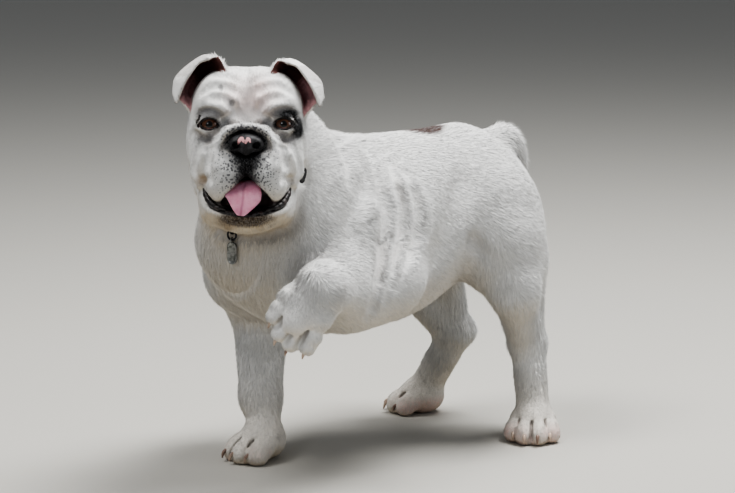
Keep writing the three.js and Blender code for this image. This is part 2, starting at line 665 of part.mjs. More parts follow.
function strap(grow) {
  const wide = COLLAR.width / 2 + grow;
  const steps = COLLAR.path.length * 2;
  const rise = COLLAR.path.map((p) => p[3]);
  const points = [];
  const index = [];
  for (let i = 0; i < steps; i += 1) {
    const at = onSkin(collarPath.getPoint(i / steps).toArray());
    const out = outward(at);
    const across = collarPath.getTangent(i / steps).cross(out).normalize();
    const top = (rise[i >> 1] + rise[((i + 1) >> 1) % rise.length]) / 2 + grow;
    const bottom = top - COLLAR.depth - 2 * grow;
    for (const [up, along] of [[bottom, -wide], [top, -wide], [top, wide], [bottom, wide]]) {
      points.push(at.clone().addScaledVector(out, up).addScaledVector(across, along));
    }
    for (let j = 0; j < 4; j += 1) {
      const [a, b] = [i * 4 + j, i * 4 + (j + 1) % 4];
      const [c, d] = [((i + 1) % steps) * 4 + j, ((i + 1) % steps) * 4 + (j + 1) % 4];
      index.push(a, b, c, b, d, c);
    }
  }
  const geometry = new THREE.BufferGeometry().setFromPoints(points);
  geometry.setIndex(index);
  return solid(geometry);
}

// The ring hangs from a loop on the strap and holds the eye of the tag
const throat = onSkin(LOOP.at);
const facing = outward(throat).setZ(0).normalize();
const sideways = facing.clone().cross(vec([0, 0, 1]));
const hoop = (out, down, look, radius, wire) => {
  const at = throat.clone().addScaledVector(facing, out).add(vec([0, 0, -down]));
  return solid(new THREE.TorusGeometry(radius, wire, 4, 10), facingPlace(at, look.toArray()));
};
const loop = (grow) => hoop(LOOP.out, 0, sideways, LOOP.radius, LOOP.wire + grow);
const ringDrop = RING.radius + 0.9;
const tagDrop = ringDrop + RING.radius - RING.wire - GAP - TAG.wire + TAG.eye;

// Trunk and limbs
const collarPath = new THREE.CatmullRomCurve3(COLLAR.path.map(([x, y, z]) => onSkin([x, y, z])), true);
const headGrown = [upperGrown, jawGrown].map((grown) => grown.transform(headFrame.elements));
const flesh = [...headGrown, strap(GAP), loop(GAP)].reduce((m, hollow) => m.subtract(hollow), whole);
let torso = flesh.subtract(region(NECK_SEAM, GAP)).subtract(block(TAIL_BLOCK.at, TAIL_BLOCK.size, GAP));
for (const s of SIDES) torso = torso.subtract(region(FORE_SEAM(s), GAP)).subtract(region(HIND_SEAM(s), GAP));
torso = torso.subtract(region(below(FORE_ELBOW_Z))).subtract(region(RAISED_SEAM, GAP));
place('torso', torso, COAT);
place('neck', flesh.intersect(region(NECK_SEAM)), COAT);
const tailSkin = legSkin([-32, 150, 245], [32, 222, 348], TAIL_CELL);
place('tail', tailSkin.intersect(block(TAIL_BLOCK.at, TAIL_BLOCK.size)), COAT);

const sideName = (s) => (s > 0 ? 'left' : 'right');

// A paw with its claws. Each claw is a path from inside the toe to the tip.
function placePaw(name, box, planes, clawPaths) {
  const cut = region(planes);
  place(name, legSkin(...box, PAW_CELL).intersect(cut), PAW_COAT);
  const grown = solid(skin(body, ...box, PAW_CELL, SWELL));
  clawPaths.forEach((path, i) => {
    const claw = solid(tube(path, [3.4, 2.9, 0.7], 5, 3, [1, 0.02, 0]));
    place(`claw_${name.slice(4)}_${i + 1}`, claw.subtract(grown), HORN);
  });
}

const standingClaws = (leg) => toeRows(leg).map(([across, forward, r]) => [
  onPaw(leg, across, forward + r * 0.3, TOE_RISE + 2),
  onPaw(leg, across, forward + r + 2, TOE_RISE),
  onPaw(leg, across, forward + r + 6.5, 2.6),
]);

for (const [s, leg] of [[1, HIND_LEFT], [-1, HIND_RIGHT]]) {
  const low = s > 0 ? [-14, 50, 30] : [-125, 40, 30];
  const high = s > 0 ? [125, 215, 300] : [14, 205, 300];
  const limb = legSkin(low, high, LIMB_CELL);
  place(`thigh_${sideName(s)}`, limb.intersect(region([...HIND_SEAM(s), ...above(KNEE_Z)])), COAT);
  const shank = limb.intersect(region([...below(KNEE_Z - GAP), ...above(HOCK_Z)]));
  place(`shank_${sideName(s)}`, shank, COAT);
  const box = [[leg.paw[0] - 50, leg.paw[1] - 55, -6], [leg.paw[0] + 50, leg.paw[1] + 50, 64]];
  placePaw(`paw_hind_${sideName(s)}`, box, [...below(HOCK_Z - GAP), ...ABOVE_FLOOR], standingClaws(leg));
}

const standing = legSkin([-140, -190, 30], [10, -20, 310], LIMB_CELL);
place('upper_arm_right', standing.intersect(region([...FORE_SEAM(-1), ...above(FORE_ELBOW_Z)])), COAT);
place('forearm_right', standing.intersect(region([...below(FORE_ELBOW_Z - GAP), ...above(WRIST_Z)])), COAT);
placePaw('paw_fore_right', [[-90, -182, -6], [14, -70, 66]],
  [...below(WRIST_Z - GAP), ...ABOVE_FLOOR], standingClaws(FORE_RIGHT));

const raised = legSkin([10, -235, 110], [160, -20, 310], LIMB_CELL);
const upperArm = raised.intersect(region(FORE_SEAM(1))).subtract(region(RAISED_SEAM, GAP));
place('upper_arm_left', upperArm, COAT);
place('forearm_left', raised.intersect(region(RAISED_SEAM)).subtract(region(RAISED_WRIST, GAP)), COAT);
const raisedClaws = FORE_LEFT.toes.map((tip, i) => {
  const ahead = vec(tip).sub(vec(raisedRoot(i))).normalize();
  const step = (along, drop) => vec(tip).addScaledVector(ahead, along).add(vec([0, 0, -drop])).toArray();
  return [step(2, -1), step(9, 0), step(12, 3)];
});
const RAISED_BOX = [[70, -235, 125], [150, -140, 240]];
placePaw('paw_fore_left', RAISED_BOX, [...RAISED_SEAM, ...RAISED_WRIST], raisedClaws);

// Worn things hang from the throat of the collar
const collar = headGrown.reduce((m, grown) => m.subtract(grown), strap(0).add(loop(0)));
place('collar', collar, STRAP);
place('ring', hoop(RING.out, ringDrop, facing, RING.radius, RING.wire), WIRE);
const plate = new THREE.CapsuleGeometry(TAG.width / 2, TAG.height - TAG.width, 3, 8);
plate.scale(1, 1, TAG.depth / TAG.width);
const plateDrop = tagDrop + TAG.eye + TAG.height / 2 - 0.6;
const tagTurn = new THREE.Matrix4().makeBasis(sideways.clone().negate(), vec([0, 0, 1]), facing.clone());
tagTurn.setPosition(throat.clone().addScaledVector(facing, RING.out).add(vec([0, 0, -plateDrop])));
place('tag', solid(plate, tagTurn).add(hoop(RING.out, tagDrop, sideways, TAG.eye, TAG.wire)), PEWTER);

// The origin is under the middle of the whole figure
const extent = new THREE.Box3().setFromObject(root);
root.position.set(-(extent.min.x + extent.max.x) / 2, -(extent.min.y + extent.max.y) / 2, -extent.min.z);

export default root;
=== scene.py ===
"""A young bulldog as a life-size still model: skin, short coat, eyes, nose, tongue, claws and collar."""
import logging
import math
from dataclasses import dataclass, field
from enum import Enum
from typing import Callable, Iterable, Iterator, Optional, Sequence, Union

import bmesh
import bpy
import numpy as np
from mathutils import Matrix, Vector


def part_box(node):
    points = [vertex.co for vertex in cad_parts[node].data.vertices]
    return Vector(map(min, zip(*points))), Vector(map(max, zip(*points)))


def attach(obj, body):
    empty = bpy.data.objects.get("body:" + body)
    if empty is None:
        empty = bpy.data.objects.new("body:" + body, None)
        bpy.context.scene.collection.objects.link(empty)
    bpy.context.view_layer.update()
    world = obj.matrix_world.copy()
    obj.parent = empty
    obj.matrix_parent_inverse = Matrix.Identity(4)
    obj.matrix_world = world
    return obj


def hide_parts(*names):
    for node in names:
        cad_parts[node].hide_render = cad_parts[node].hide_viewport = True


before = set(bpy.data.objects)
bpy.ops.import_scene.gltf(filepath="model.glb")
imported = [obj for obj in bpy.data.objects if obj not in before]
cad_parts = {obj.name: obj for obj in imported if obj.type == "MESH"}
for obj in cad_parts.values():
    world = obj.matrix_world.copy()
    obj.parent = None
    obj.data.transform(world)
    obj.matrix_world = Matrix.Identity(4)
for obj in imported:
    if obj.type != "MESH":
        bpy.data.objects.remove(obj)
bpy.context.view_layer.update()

import openvdb as vdb
from bpy.types import Material, Node, NodeSocket, Object
from mathutils import Matrix, Vector

Array = np.ndarray
Point = Sequence[float]
Line = tuple[Point, ...]
Number = Union[float, "Value"]
LOG = logging.getLogger("bulldog")
Cells = tuple[slice, slice, slice]
MM = 0.001
BODY = "root"
SIDES = (1, -1)
SIDE_NAMES = {1: "left", -1: "right"}
OTHER_WAY = [0, 3, 2, 1]

# The size of the grid's cells and the distance in empty ones in millimetres, a groove's reach in widths
CELL = 1.25
EMPTY = 60.0
GROOVE_REACH = 2.4


class Part(Enum):
    """Pieces of the coat."""

    FACE = "face"
    CROWN = "crown"
    NECK = "neck"
    CHEST = "chest"
    LEFT_SIDE = "left_side"
    RIGHT_SIDE = "right_side"
    RUMP = "rump"
    HIND_LEFT = "hind_left"
    HIND_RIGHT = "hind_right"
    FORE_LEFT = "fore_left"
    FORE_RIGHT = "fore_right"


# Small sums


def unit(v: Array) -> Array:
    """Vectors, each brought to length one."""
    return v / np.maximum(np.linalg.norm(v, axis=-1, keepdims=True), 1e-9)


def lengths(v: Array) -> Array:
    """The length of each vector."""
    return np.linalg.norm(v, axis=-1)


def rise(low: float, high: float, x: Array) -> Array:
    """Smooth rise from 0 at low to 1 at high."""
    t = np.clip((x - low) / (high - low), 0, 1)
    return t * t * (3 - 2 * t)


def soft_min(a: Array, b: Array, blend: Union[float, Array]) -> Array:
    """The smaller of two distances, rounded where they cross."""
    h = np.maximum(blend - np.abs(a - b), 0)
    return np.minimum(a, b) - h * h / (4 * blend)


def turned(angles: Point) -> Array:
    """Rotation matrix of three angles in degrees, the one about X first."""
    x, y, z = (math.radians(a) for a in angles)
    return np.array(Matrix.Rotation(z, 3, "Z") @ Matrix.Rotation(y, 3, "Y") @ Matrix.Rotation(x, 3, "X"))


def curve(points: Iterable[Point], count: int, closed: bool = False) -> Array:
    """Evenly counted points on a smooth line through the given ones.

    Args:
        points: The points that the line passes through.
        count: How many points to return.
        closed: Whether the line returns to its start.

    Returns:
        An array of count points.
    """
    p = np.asarray(list(points), float)
    n = len(p)
    if closed:
        t = np.arange(count) / count * n
        i = np.floor(t).astype(int)
        a, b, c, d = (p[(i + k) % n] for k in (-1, 0, 1, 2))
    else:
        p = np.vstack([2 * p[0] - p[1], p, 2 * p[-1] - p[-2]])
        t = np.linspace(0, n - 1, count)
        i = np.minimum(np.floor(t).astype(int), n - 2)
        a, b, c, d = (p[i + k] for k in (0, 1, 2, 3))
    f = (t - i)[:, None]
    return 0.5 * (2 * b + (c - a) * f + (2 * a - 5 * b + 4 * c - d) * f**2 + (3 * b - a - 3 * c + d) * f**3)


@dataclass(frozen=True)
class Pose:
    """A frame of its own inside the figure."""

    at: Point = (0.0, 0.0, 0.0)
    turn: Point = (0.0, 0.0, 0.0)

    def out(self, points: Array) -> Array:
        """Points of this frame, in the figure's frame."""
        return np.asarray(points, float) @ turned(self.turn).T + np.asarray(self.at)

    def into(self, points: Array) -> Array:
        """Points of the figure's frame, in this one."""
        return (np.asarray(points, float) - np.asarray(self.at)) @ turned(self.turn)

    def way(self, vectors: Array) -> Array:
        """Directions of this frame, in the figure's frame."""
        return np.asarray(vectors, float) @ turned(self.turn).T


# The sculptor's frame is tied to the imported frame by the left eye, and sizes in it are millimetres

HEAD_POSE = Pose((28.0, -186.0, 350.0), (-8.0, 0.0, 53.0))
EYE = (36.5, -30.0, 17.0)
SHIFT = np.add(*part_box("eye_left")) * (0.5 / MM) - HEAD_POSE.out(EYE)


# Forms of flesh


@dataclass(frozen=True)
class Egg:
    """An ellipsoid."""

    at: Point
    size: Point
    turn: Point = (0.0, 0.0, 0.0)

    def box(self) -> tuple[Array, Array]:
        """Lowest and highest corner."""
        m = turned(self.turn)
        half = np.sqrt((m * m) @ (np.asarray(self.size, float) ** 2))
        return np.asarray(self.at) - half, np.asarray(self.at) + half

    def distance(self, x: Array, y: Array, z: Array) -> Array:
        """Distance to the surface, negative inside."""
        m = turned(self.turn).astype(np.float32)
        dx, dy, dz = x - self.at[0], y - self.at[1], z - self.at[2]
        local = (m[0, i] * dx + m[1, i] * dy + m[2, i] * dz for i in range(3))
        a, b, c = (np.float32(1 / half) * place for half, place in zip(self.size, local))
        near = np.sqrt(a * a + b * b + c * c)
        slope = np.sqrt(sum((v / s) ** 2 for v, s in zip((a, b, c), self.size)))
        return near * (near - 1) / np.maximum(slope, 1e-6)


@dataclass(frozen=True)
class Bar:
    """A tapered bar with round ends."""

    start: Point
    end: Point
    radii: Point

    def box(self) -> tuple[Array, Array]:
        """Lowest and highest corner."""
        ends = np.array([self.start, self.end], float)
        r = np.array(self.radii)[:, None]
        return (ends - r).min(0), (ends + r).max(0)

    def distance(self, x: Array, y: Array, z: Array) -> Array:
        """Distance to the surface, negative inside."""
        axis = np.subtract(self.end, self.start)
        length = float(np.linalg.norm(axis))
        ux, uy, uz = (np.float32(v / length) for v in axis)
        taper = (self.radii[1] - self.radii[0]) / length
        lean = taper / math.sqrt(max(1 - taper * taper, 0.05))
        px, py, pz = x - self.start[0], y - self.start[1], z - self.start[2]
        along = px * ux + py * uy + pz * uz
        off = np.sqrt(np.maximum(px * px + py * py + pz * pz - along * along, 0))
        s = np.clip(along + np.float32(lean) * off, 0, np.float32(length))
        return np.hypot(off, along - s) - (np.float32(self.radii[0]) + np.float32(taper) * s)


@dataclass(frozen=True)
class Wedge:
    """An upside-down V that runs from front to back."""

    top: float
    bottom: float
    half_angle: float
    front: float
    back: float

    def box(self) -> tuple[Array, Array]:
        """Lowest and highest corner."""
        wide = (self.top - self.bottom) * math.tan(math.radians(self.half_angle))
        return np.array([-wide, self.front, self.bottom]), np.array([wide, self.back, self.top])

    def distance(self, x: Array, y: Array, z: Array) -> Array:
        """Distance to the surface, negative inside."""
        a = math.radians(self.half_angle)
        slope = np.abs(x) * np.float32(math.cos(a)) + (z - np.float32(self.top)) * np.float32(math.sin(a))
        return np.maximum(np.maximum(slope, self.bottom - z), np.maximum(self.front - y, y - self.back))


def cord(points: Iterable[Point], radii: Point, steps: int = 14) -> list[Bar]:
    """Short bars along a smooth line.

    Args:
        points: The points that the line passes through.
        radii: The radius at its start and its end.
        steps: How many bars there are.

    Returns:
        The bars, in order.
    """
    p = curve(points, steps + 1)
    r = np.linspace(radii[0], radii[1], steps + 1)
    return [Bar(tuple(p[i]), tuple(p[i + 1]), (r[i], r[i + 1])) for i in range(steps)]


Form = Union[Egg, Bar, Wedge, list[Bar]]


@dataclass
class Clay:
    """A block of space on a grid. Each cell holds the distance to the flesh."""

    low: Array
    d: Array
    cell: float = CELL

    @classmethod
    def block(cls, low: Point, high: Point, cell: float = CELL) -> "Clay":
        """An empty block between two corners, on the common grid."""
        start = np.floor(np.asarray(low) / cell).astype(int)
        end = np.ceil(np.asarray(high) / cell).astype(int)
        return cls(start, np.full(end - start + 1, EMPTY, np.float32), cell)

    def like(self) -> "Clay":
        """An empty block with the same cells."""
        return Clay(self.low, np.full(self.d.shape, EMPTY, np.float32), self.cell)

    def window(self, low: Array, high: Array) -> Optional[Cells]:
        """The cells between two corners, or None where the block has none."""
        a = np.maximum(np.floor(low / self.cell).astype(int) - self.low, 0)
        b = np.minimum(np.ceil(high / self.cell).astype(int) - self.low + 1, self.d.shape)
        return tuple(slice(i, j) for i, j in zip(a, b)) if (b > a).all() else None

    def around(self, box: Array, pose: Optional[Pose] = None) -> Optional[Cells]:
        """The cells round a box of that pose's frame."""
        corners = np.array([[box[i][0], box[j][1], box[k][2]] for i, j, k in np.ndindex(2, 2, 2)])
        if pose:
            corners = pose.out(corners)
        return self.window(corners.min(0), corners.max(0))

    def whole(self) -> Cells:
        """All cells."""
        return tuple(slice(0, n) for n in self.d.shape)

    def places(self, cells: Cells, pose: Optional[Pose] = None) -> tuple[Array, Array, Array]:
        """Coordinates of those cells, ready to broadcast.

        Args:
            cells: The cells.
            pose: The frame that the coordinates are wanted in.

        Returns:
            Arrays for x, y and z.
        """
        x, y, z = (((np.arange(part.start, part.stop) + first) * self.cell).astype(np.float32)
                   for part, first in zip(cells, self.low))
        x, y, z = x[:, None, None], y[None, :, None], z[None, None, :]
        if pose is None:
            return x, y, z
        m = turned(pose.turn).astype(np.float32)
        dx, dy, dz = x - np.float32(pose.at[0]), y - np.float32(pose.at[1]), z - np.float32(pose.at[2])
        return tuple(m[0, i] * dx + m[1, i] * dy + m[2, i] * dz for i in range(3))

    def add(self, form: Form, blend: float, pose: Optional[Pose] = None, mirrored: bool = False,
            cut: bool = False) -> None:
        """Adds a form to the flesh, or cuts it away.

        Args:
            form: An egg, a bar or a cord.
            blend: How far the join is rounded.
            pose: The frame that the form is given in.
            mirrored: Whether it is also on the other side of that frame.
            cut: Whether it is taken away.
        """
        pieces = form if isinstance(form, list) else [form]
        boxes = np.array([piece.box() for piece in pieces])
        box = np.array([boxes[:, 0].min(0) - blend - 3, boxes[:, 1].max(0) + blend + 3])
        if mirrored:
            box[:, 0] = np.array([-1, 1]) * np.abs(box[:, 0]).max()
        cells = self.around(box, pose)
        if cells is None:
            return
        x, y, z = self.places(cells, pose)
        if mirrored:
            x = np.sqrt(x * x + 4)
        near = pieces[0].distance(x, y, z)
        for piece in pieces[1:]:
            near = np.minimum(near, piece.distance(x, y, z))
        here = self.d[cells]
        self.d[cells] = -soft_min(-here, near, blend) if cut else soft_min(here, near, blend)

    def round_each(self, points: Array, cells: Cells, reach: float) -> Iterator[tuple[int, Cells, Array]]:
        """Goes through points that lie close together.

        Args:
            points: The points, in the figure's frame.
            cells: The cells round all of them.
            reach: How far from a point its own cells go.

        Yields:
            The point's number, its cells counted from the first of the given ones, and the
            squared distances of those.
        """
        x, y, z = self.places(cells)
        shape = [part.stop - part.start for part in cells]
        n = int(math.ceil(reach / self.cell)) + 1
        first = np.array([part.start for part in cells]) + self.low
        for number, p in enumerate(points):
            at = np.round(p / self.cell).astype(int) - first
            a, b = np.maximum(at - n, 0), np.minimum(at + n + 1, shape)
            if (b > a).all():
                i, j, k = (slice(start, end) for start, end in zip(a, b))
                yield number, (i, j, k), (x[i] - p[0]) ** 2 + (y[:, j] - p[1]) ** 2 + (z[:, :, k] - p[2]) ** 2

    def near_path(self, path: Array, reach: float) -> tuple[Optional[Cells], Array]:
        """Squared distance from the cells round a path to its nearest point.

        Args:
            path: Points close together, in the figure's frame.
            reach: How far from the path the cells go.

        Returns:
            The cells, and their squared distances.
        """
        cells = self.window(path.min(0) - reach, path.max(0) + reach)
        if cells is None:
            return None, np.zeros(0)
        best = np.full([part.stop - part.start for part in cells], reach * reach, np.float32)
        for _, here, squared in self.round_each(path, cells, reach):
            best[here] = np.minimum(best[here], squared)
        return cells, best

    def press(self, points: Array, width: float, depth: float, fade: bool = True) -> None:
        """Presses a soft groove into the flesh along a line, or raises a ridge.

        Args:
            points: The points that the line passes through.
            width: Distance at which the groove has mostly gone.
            depth: Its depth, negative for a ridge.
            fade: Whether it runs out towards its ends.
        """
        points = np.asarray(points, float)
        length = float(lengths(np.diff(points, axis=0)).sum())
        count = max(int(length / (width * 0.4)), 4)
        path = curve(points, count)
        parts = [(path, depth)]
        if fade:
            edge = max(count // 5, 1)
            parts = [(path, depth * 0.45), (path[edge:count - edge], depth * 0.55)]
        for line, amount in parts:
            cells, squared = self.near_path(line, width * GROOVE_REACH)
            if cells is not None:
                bell = np.exp(-squared / (width * width)) - math.exp(-GROOVE_REACH**2)
                self.d[cells] += amount * bell.astype(np.float32)

    def spread(self, points: Array, radii: Array, blend: float) -> None:
        """Adds a sheet or a line made of round lumps that lie close together."""
        reach = float(np.max(radii)) + blend + 2
        cells = self.window(points.min(0) - reach, points.max(0) + reach)
        near = np.full([part.stop - part.start for part in cells], reach, np.float32)
        for i, here, squared in self.round_each(points, cells, reach):
            near[here] = np.minimum(near[here], np.sqrt(squared) - radii[i])
        self.d[cells] = soft_min(self.d[cells], near, blend)

    def model(self, layers: Iterable[tuple[Form, float, bool]], pose: Pose) -> "Clay":
        """Adds or cuts several mirrored forms, each with its blend and whether it is cut."""
        for form, blend, cut in layers:
            self.add(form, blend, pose, mirrored=True, cut=cut)
        return self

    def merge(self, other: "Clay", blend: Union[float, Array]) -> None:
        """Joins another block on the same grid to this one."""
        at = other.low - self.low
        cells = tuple(slice(a, a + n) for a, n in zip(at, other.d.shape))
        self.d[cells] = soft_min(self.d[cells], other.d, blend)

    def value(self, points: Array) -> Array:
        """Distance at any points, between the cells too."""
        p = np.asarray(points) / self.cell - self.low
        i = np.clip(np.floor(p).astype(int), 0, np.array(self.d.shape) - 2)
        f = np.clip(p - i, 0, 1)
        share = (1 - f, f)
        total = np.zeros(len(p))
        for a, b, c in np.ndindex(2, 2, 2):
            weight = share[a][:, 0] * share[b][:, 1] * share[c][:, 2]
            total += weight * self.d[i[:, 0] + a, i[:, 1] + b, i[:, 2] + c]
        return total

    def slope(self, points: Array) -> Array:
        """Outward directions at any points."""
        pairs = ((points + step, points - step) for step in np.eye(3) * self.cell)
        return unit(np.stack([self.value(ahead) - self.value(behind) for ahead, behind in pairs], axis=1))

    def drawn(self, points: Array, rounds: int = 4) -> Array:
        """Points near the flesh, brought on to it by the shortest way."""
        for _ in range(rounds):
            points = points - self.slope(points) * self.value(points)[:, None]
        return points

    def meet(self, points: Array, way: Array, reach: float = 160) -> Array:
        """Moves points along a direction until they are on the flesh."""
        p = np.asarray(points, float).copy()
        start = p.copy()
        for _ in range(60):
            p += np.clip(self.value(p), -3, 6)[:, None] * 0.7 * way
        lost = lengths(p - start) > reach
        p[lost] = start[lost]
        return p

    def surface(self) -> tuple[Array, Array]:
        """Points and four-sided faces of the flesh."""
        grid = vdb.FloatGrid()
        grid.background = 3.0
        grid.copyFromArray(np.clip(self.d, -3, 3))
        points, quads = grid.convertToQuads()
        points = (points + self.low) * self.cell
        for _ in range(2):
            points = points - self.slope(points) * (self.value(points)[:, None] * 0.8)
        return points, quads


# Shader maths


@dataclass(frozen=True)
class Value:
    """A number that a node gives, for sums written as Python."""

    paint: "Paint"
    socket: NodeSocket

    def sum(self, operation: str, a: Number, b: Number = 0.0, clamp: bool = False) -> "Value":
        """One Math node."""
        return self.paint.number("ShaderNodeMath", {"operation": operation, "use_clamp": clamp}, {0: a, 1: b})

    def __add__(self, other: Number) -> "Value":
        """Sum."""
        return self.sum("ADD", self, other)

    __radd__ = __add__

    def __sub__(self, other: Number) -> "Value":
        """Difference."""
        return self.sum("SUBTRACT", self, other)

    def __rsub__(self, other: Number) -> "Value":
        """Difference from a number."""
        return self.sum("SUBTRACT", other, self)

    def __mul__(self, other: Number) -> "Value":
        """Product."""
        return self.sum("MULTIPLY", self, other)

    def sine(self) -> "Value":
        """The sine of the value."""
        return self.sum("SINE", self)

    def most(self, other: Number) -> "Value":
        """The larger of two."""
        return self.sum("MAXIMUM", self, other)

    def kept(self) -> "Value":
        """The value, kept between 0 and 1."""
        return self.sum("ADD", self, 0.0, clamp=True)

    def rise(self, low: float, high: float) -> "Value":
        """Smooth rise from 0 at low to 1 at high."""
        return self.paint.number(
            "ShaderNodeMapRange", {"interpolation_type": "SMOOTHSTEP"}, {0: self, 1: low, 2: high})


@dataclass
class Paint:
    """One material and its nodes."""

    name: str
    material: Material = field(init=False)
    shader: Node = field(init=False)

    def __post_init__(self) -> None:
        """Makes the material with one surface shader."""
        self.material = bpy.data.materials.new(self.name)
        self.material.use_nodes = True
        self.shader = self.material.node_tree.nodes["Principled BSDF"]

    def node(self, kind: str, settings: Optional[dict] = None,
             inputs: Optional[dict] = None) -> Node:
        """Adds a node.

        Args:
            kind: The node's type.
            settings: Its properties, which are set first.
            inputs: Numbers, colours, Values or sockets for its sockets.

        Returns:
            The node.
        """
        made = self.material.node_tree.nodes.new(kind)
        for key, setting in (settings or {}).items():
            setattr(made, key, setting)
        for key, given in (inputs or {}).items():
            self.feed(made.inputs[key], given)
        return made

    def feed(self, socket: NodeSocket, given: object) -> None:
        """Links a socket, or sets its number or colour."""
        if isinstance(given, Value):
            given = given.socket
        if isinstance(given, NodeSocket):
            self.material.node_tree.links.new(given, socket)
        else:
            socket.default_value = given

    def number(self, kind: str, settings: Optional[dict] = None, inputs: Optional[dict] = None,
               output: Union[int, str] = 0) -> Value:
        """Adds a node and returns one of its outputs for sums."""
        return Value(self, self.node(kind, settings, inputs).outputs[output])

    def mark(self, name: str) -> Value:
        """A number that the mesh carries at each point."""
        return self.number("ShaderNodeAttribute", {"attribute_name": name}, output="Fac")

    def place(self) -> NodeSocket:
        """Position on the object."""
        return self.node("ShaderNodeTexCoord").outputs["Object"]

    def noise(self, scale: float, detail: float = 2, rough: float = 0.5, stretch: Point = (1, 1, 1)) -> Value:
        """Cloudy noise.

        Args:
            scale: Waves per metre.
            detail: How many finer layers it has.
            rough: How strong those are.
            stretch: How much finer it is along each axis.

        Returns:
            A value about 0.5.
        """
        place = self.place()
        if tuple(stretch) != (1, 1, 1):
            place = self.node("ShaderNodeMapping", inputs={"Vector": place, "Scale": stretch}).outputs[0]
        return self.number("ShaderNodeTexNoise", inputs={
            "Vector": place, "Scale": scale, "Detail": detail, "Roughness": rough})

    def cells(self, scale: float) -> Value:
        """Distance to scattered points."""
        return self.number("ShaderNodeTexVoronoi", inputs={"Vector": self.place(), "Scale": scale})

    def mix(self, share: Number, first: object, second: object) -> NodeSocket:
        """Colour between two colours.

        Args:
            share: How much of the second there is.
            first: A colour or a socket.
            second: A colour or a socket.

        Returns:
            The mixed colour's socket.
        """
        inputs = {0: share, 6: colour(first), 7: colour(second)}
        return self.node("ShaderNodeMix", {"data_type": "RGBA"}, inputs).outputs[2]

    def bump(self, height: Number, distance: float, strength: float = 1.0) -> None:
        """Feeds a height, in metres times distance, to the shader's normal."""
        inputs = {"Height": height, "Distance": distance, "Strength": strength}
        self.feed(self.shader.inputs["Normal"], self.node("ShaderNodeBump", inputs=inputs).outputs[0])

    def finish(self, base: object, rough: Number, **constants: float) -> Material:
        """Sets colour, roughness and the constants of the shader.

        Args:
            base: The base colour.
            rough: The roughness.
            constants: Other sockets, named with underscores for spaces.

        Returns:
            The material.
        """
        self.feed(self.shader.inputs["Base Color"], colour(base))
        self.feed(self.shader.inputs["Roughness"], rough)
        for key, number in constants.items():
            self.feed(self.shader.inputs[key.replace("_", " ")], number)
        return self.material


def shared(name: str, make: Callable[[], Material]) -> Material:
    """A material that several pieces have, made the first time that it is asked for."""
    return bpy.data.materials.get(name) or make()


def colour(given: object) -> object:
    """A colour with its alpha, or the socket that was given."""
    return (*given, 1.0) if isinstance(given, tuple) and len(given) == 3 else given


# Meshes


def mesh_object(name: str, points: Array, faces: Array) -> Object:
    """Makes an object from millimetre points.

    Args:
        name: The object's name.
        points: Its points, in the sculptor's frame.
        faces: Rows of three or four point numbers.

    Returns:
        The object, with smooth shading.
    """
    mesh = bpy.data.meshes.new(name)
    sides = faces.shape[1]
    mesh.vertices.add(len(points))
    mesh.vertices.foreach_set("co", ((points + SHIFT) * MM).astype(np.float32).ravel())
    mesh.loops.add(faces.size)
    mesh.loops.foreach_set("vertex_index", faces.astype(np.int32).ravel())
    mesh.polygons.add(len(faces))
    mesh.polygons.foreach_set("loop_start", np.arange(0, faces.size, sides, dtype=np.int32))
    mesh.update(calc_edges=True)
    mesh.validate()
    mesh.polygons.foreach_set("use_smooth", np.ones(len(mesh.polygons), bool))
    made = bpy.data.objects.new(name, mesh)
    bpy.context.scene.collection.objects.link(made)
    return made


def spread_out(values: Point, steps: int) -> Array:
    """Values, read evenly at that many places from the first to the last."""
    return np.interp(np.linspace(0, len(values) - 1, steps), range(len(values)), values)


def carry(made: Object, name: str, numbers: Array) -> None:
    """Stores a number at each point of a mesh."""
    made.data.attributes.new(name, "FLOAT", "POINT").data.foreach_set("value", numbers.astype(np.float32))


def settle(made: Object) -> None:
    """Applies an object's modifiers to its mesh."""
    shaped = made.evaluated_get(bpy.context.evaluated_depsgraph_get())
    mesh = bpy.data.meshes.new_from_object(shaped)
    made.modifiers.clear()
    old, made.data = made.data, mesh
    bpy.data.meshes.remove(old)


def weld(made: Object) -> None:
    """Joins points that lie in the same place."""
    work = bmesh.new()
    work.from_mesh(made.data)
    bmesh.ops.remove_doubles(work, verts=work.verts, dist=1e-6)
    work.to_mesh(made.data)
    work.free()


def ring_faces(rings: int, sides: int) -> Array:
    """Triangles of a closed tube of rings, with two end points after them."""
    faces = []
    last, tail = (rings - 1) * sides, rings * sides
    for i in range(rings - 1):
        for j in range(sides):
            p, q = i * sides + j, i * sides + (j + 1) % sides
            faces += [(p, q, q + sides), (p, q + sides, p + sides)]
    for j in range(sides):
        faces += [(tail, (j + 1) % sides, j), (tail + 1, last + j, last + (j + 1) % sides)]
    return np.array(faces)


def net_faces(rows: int, sides: int, closed: bool = True) -> Array:
    """Four-sided faces between rows of points, where each row goes round.

    Args:
        rows: How many rows there are.
        sides: How many points a row has.
        closed: Whether the last row joins the first.

    Returns:
        Rows of four point numbers.
    """
    i, j = (place.ravel() for place in np.mgrid[0:rows if closed else rows - 1, 0:sides])
    row, after, beside = i * sides, (i + 1) % rows * sides, (j + 1) % sides
    return np.stack([row + j, after + j, after + beside, row + beside], axis=1)


def read_points(made: Object) -> Array:
    """An object's points in the sculptor's frame."""
    flat = np.empty(len(made.data.vertices) * 3, np.float32)
    made.data.vertices.foreach_get("co", flat)
    return flat.reshape(-1, 3).astype(float) / MM - SHIFT


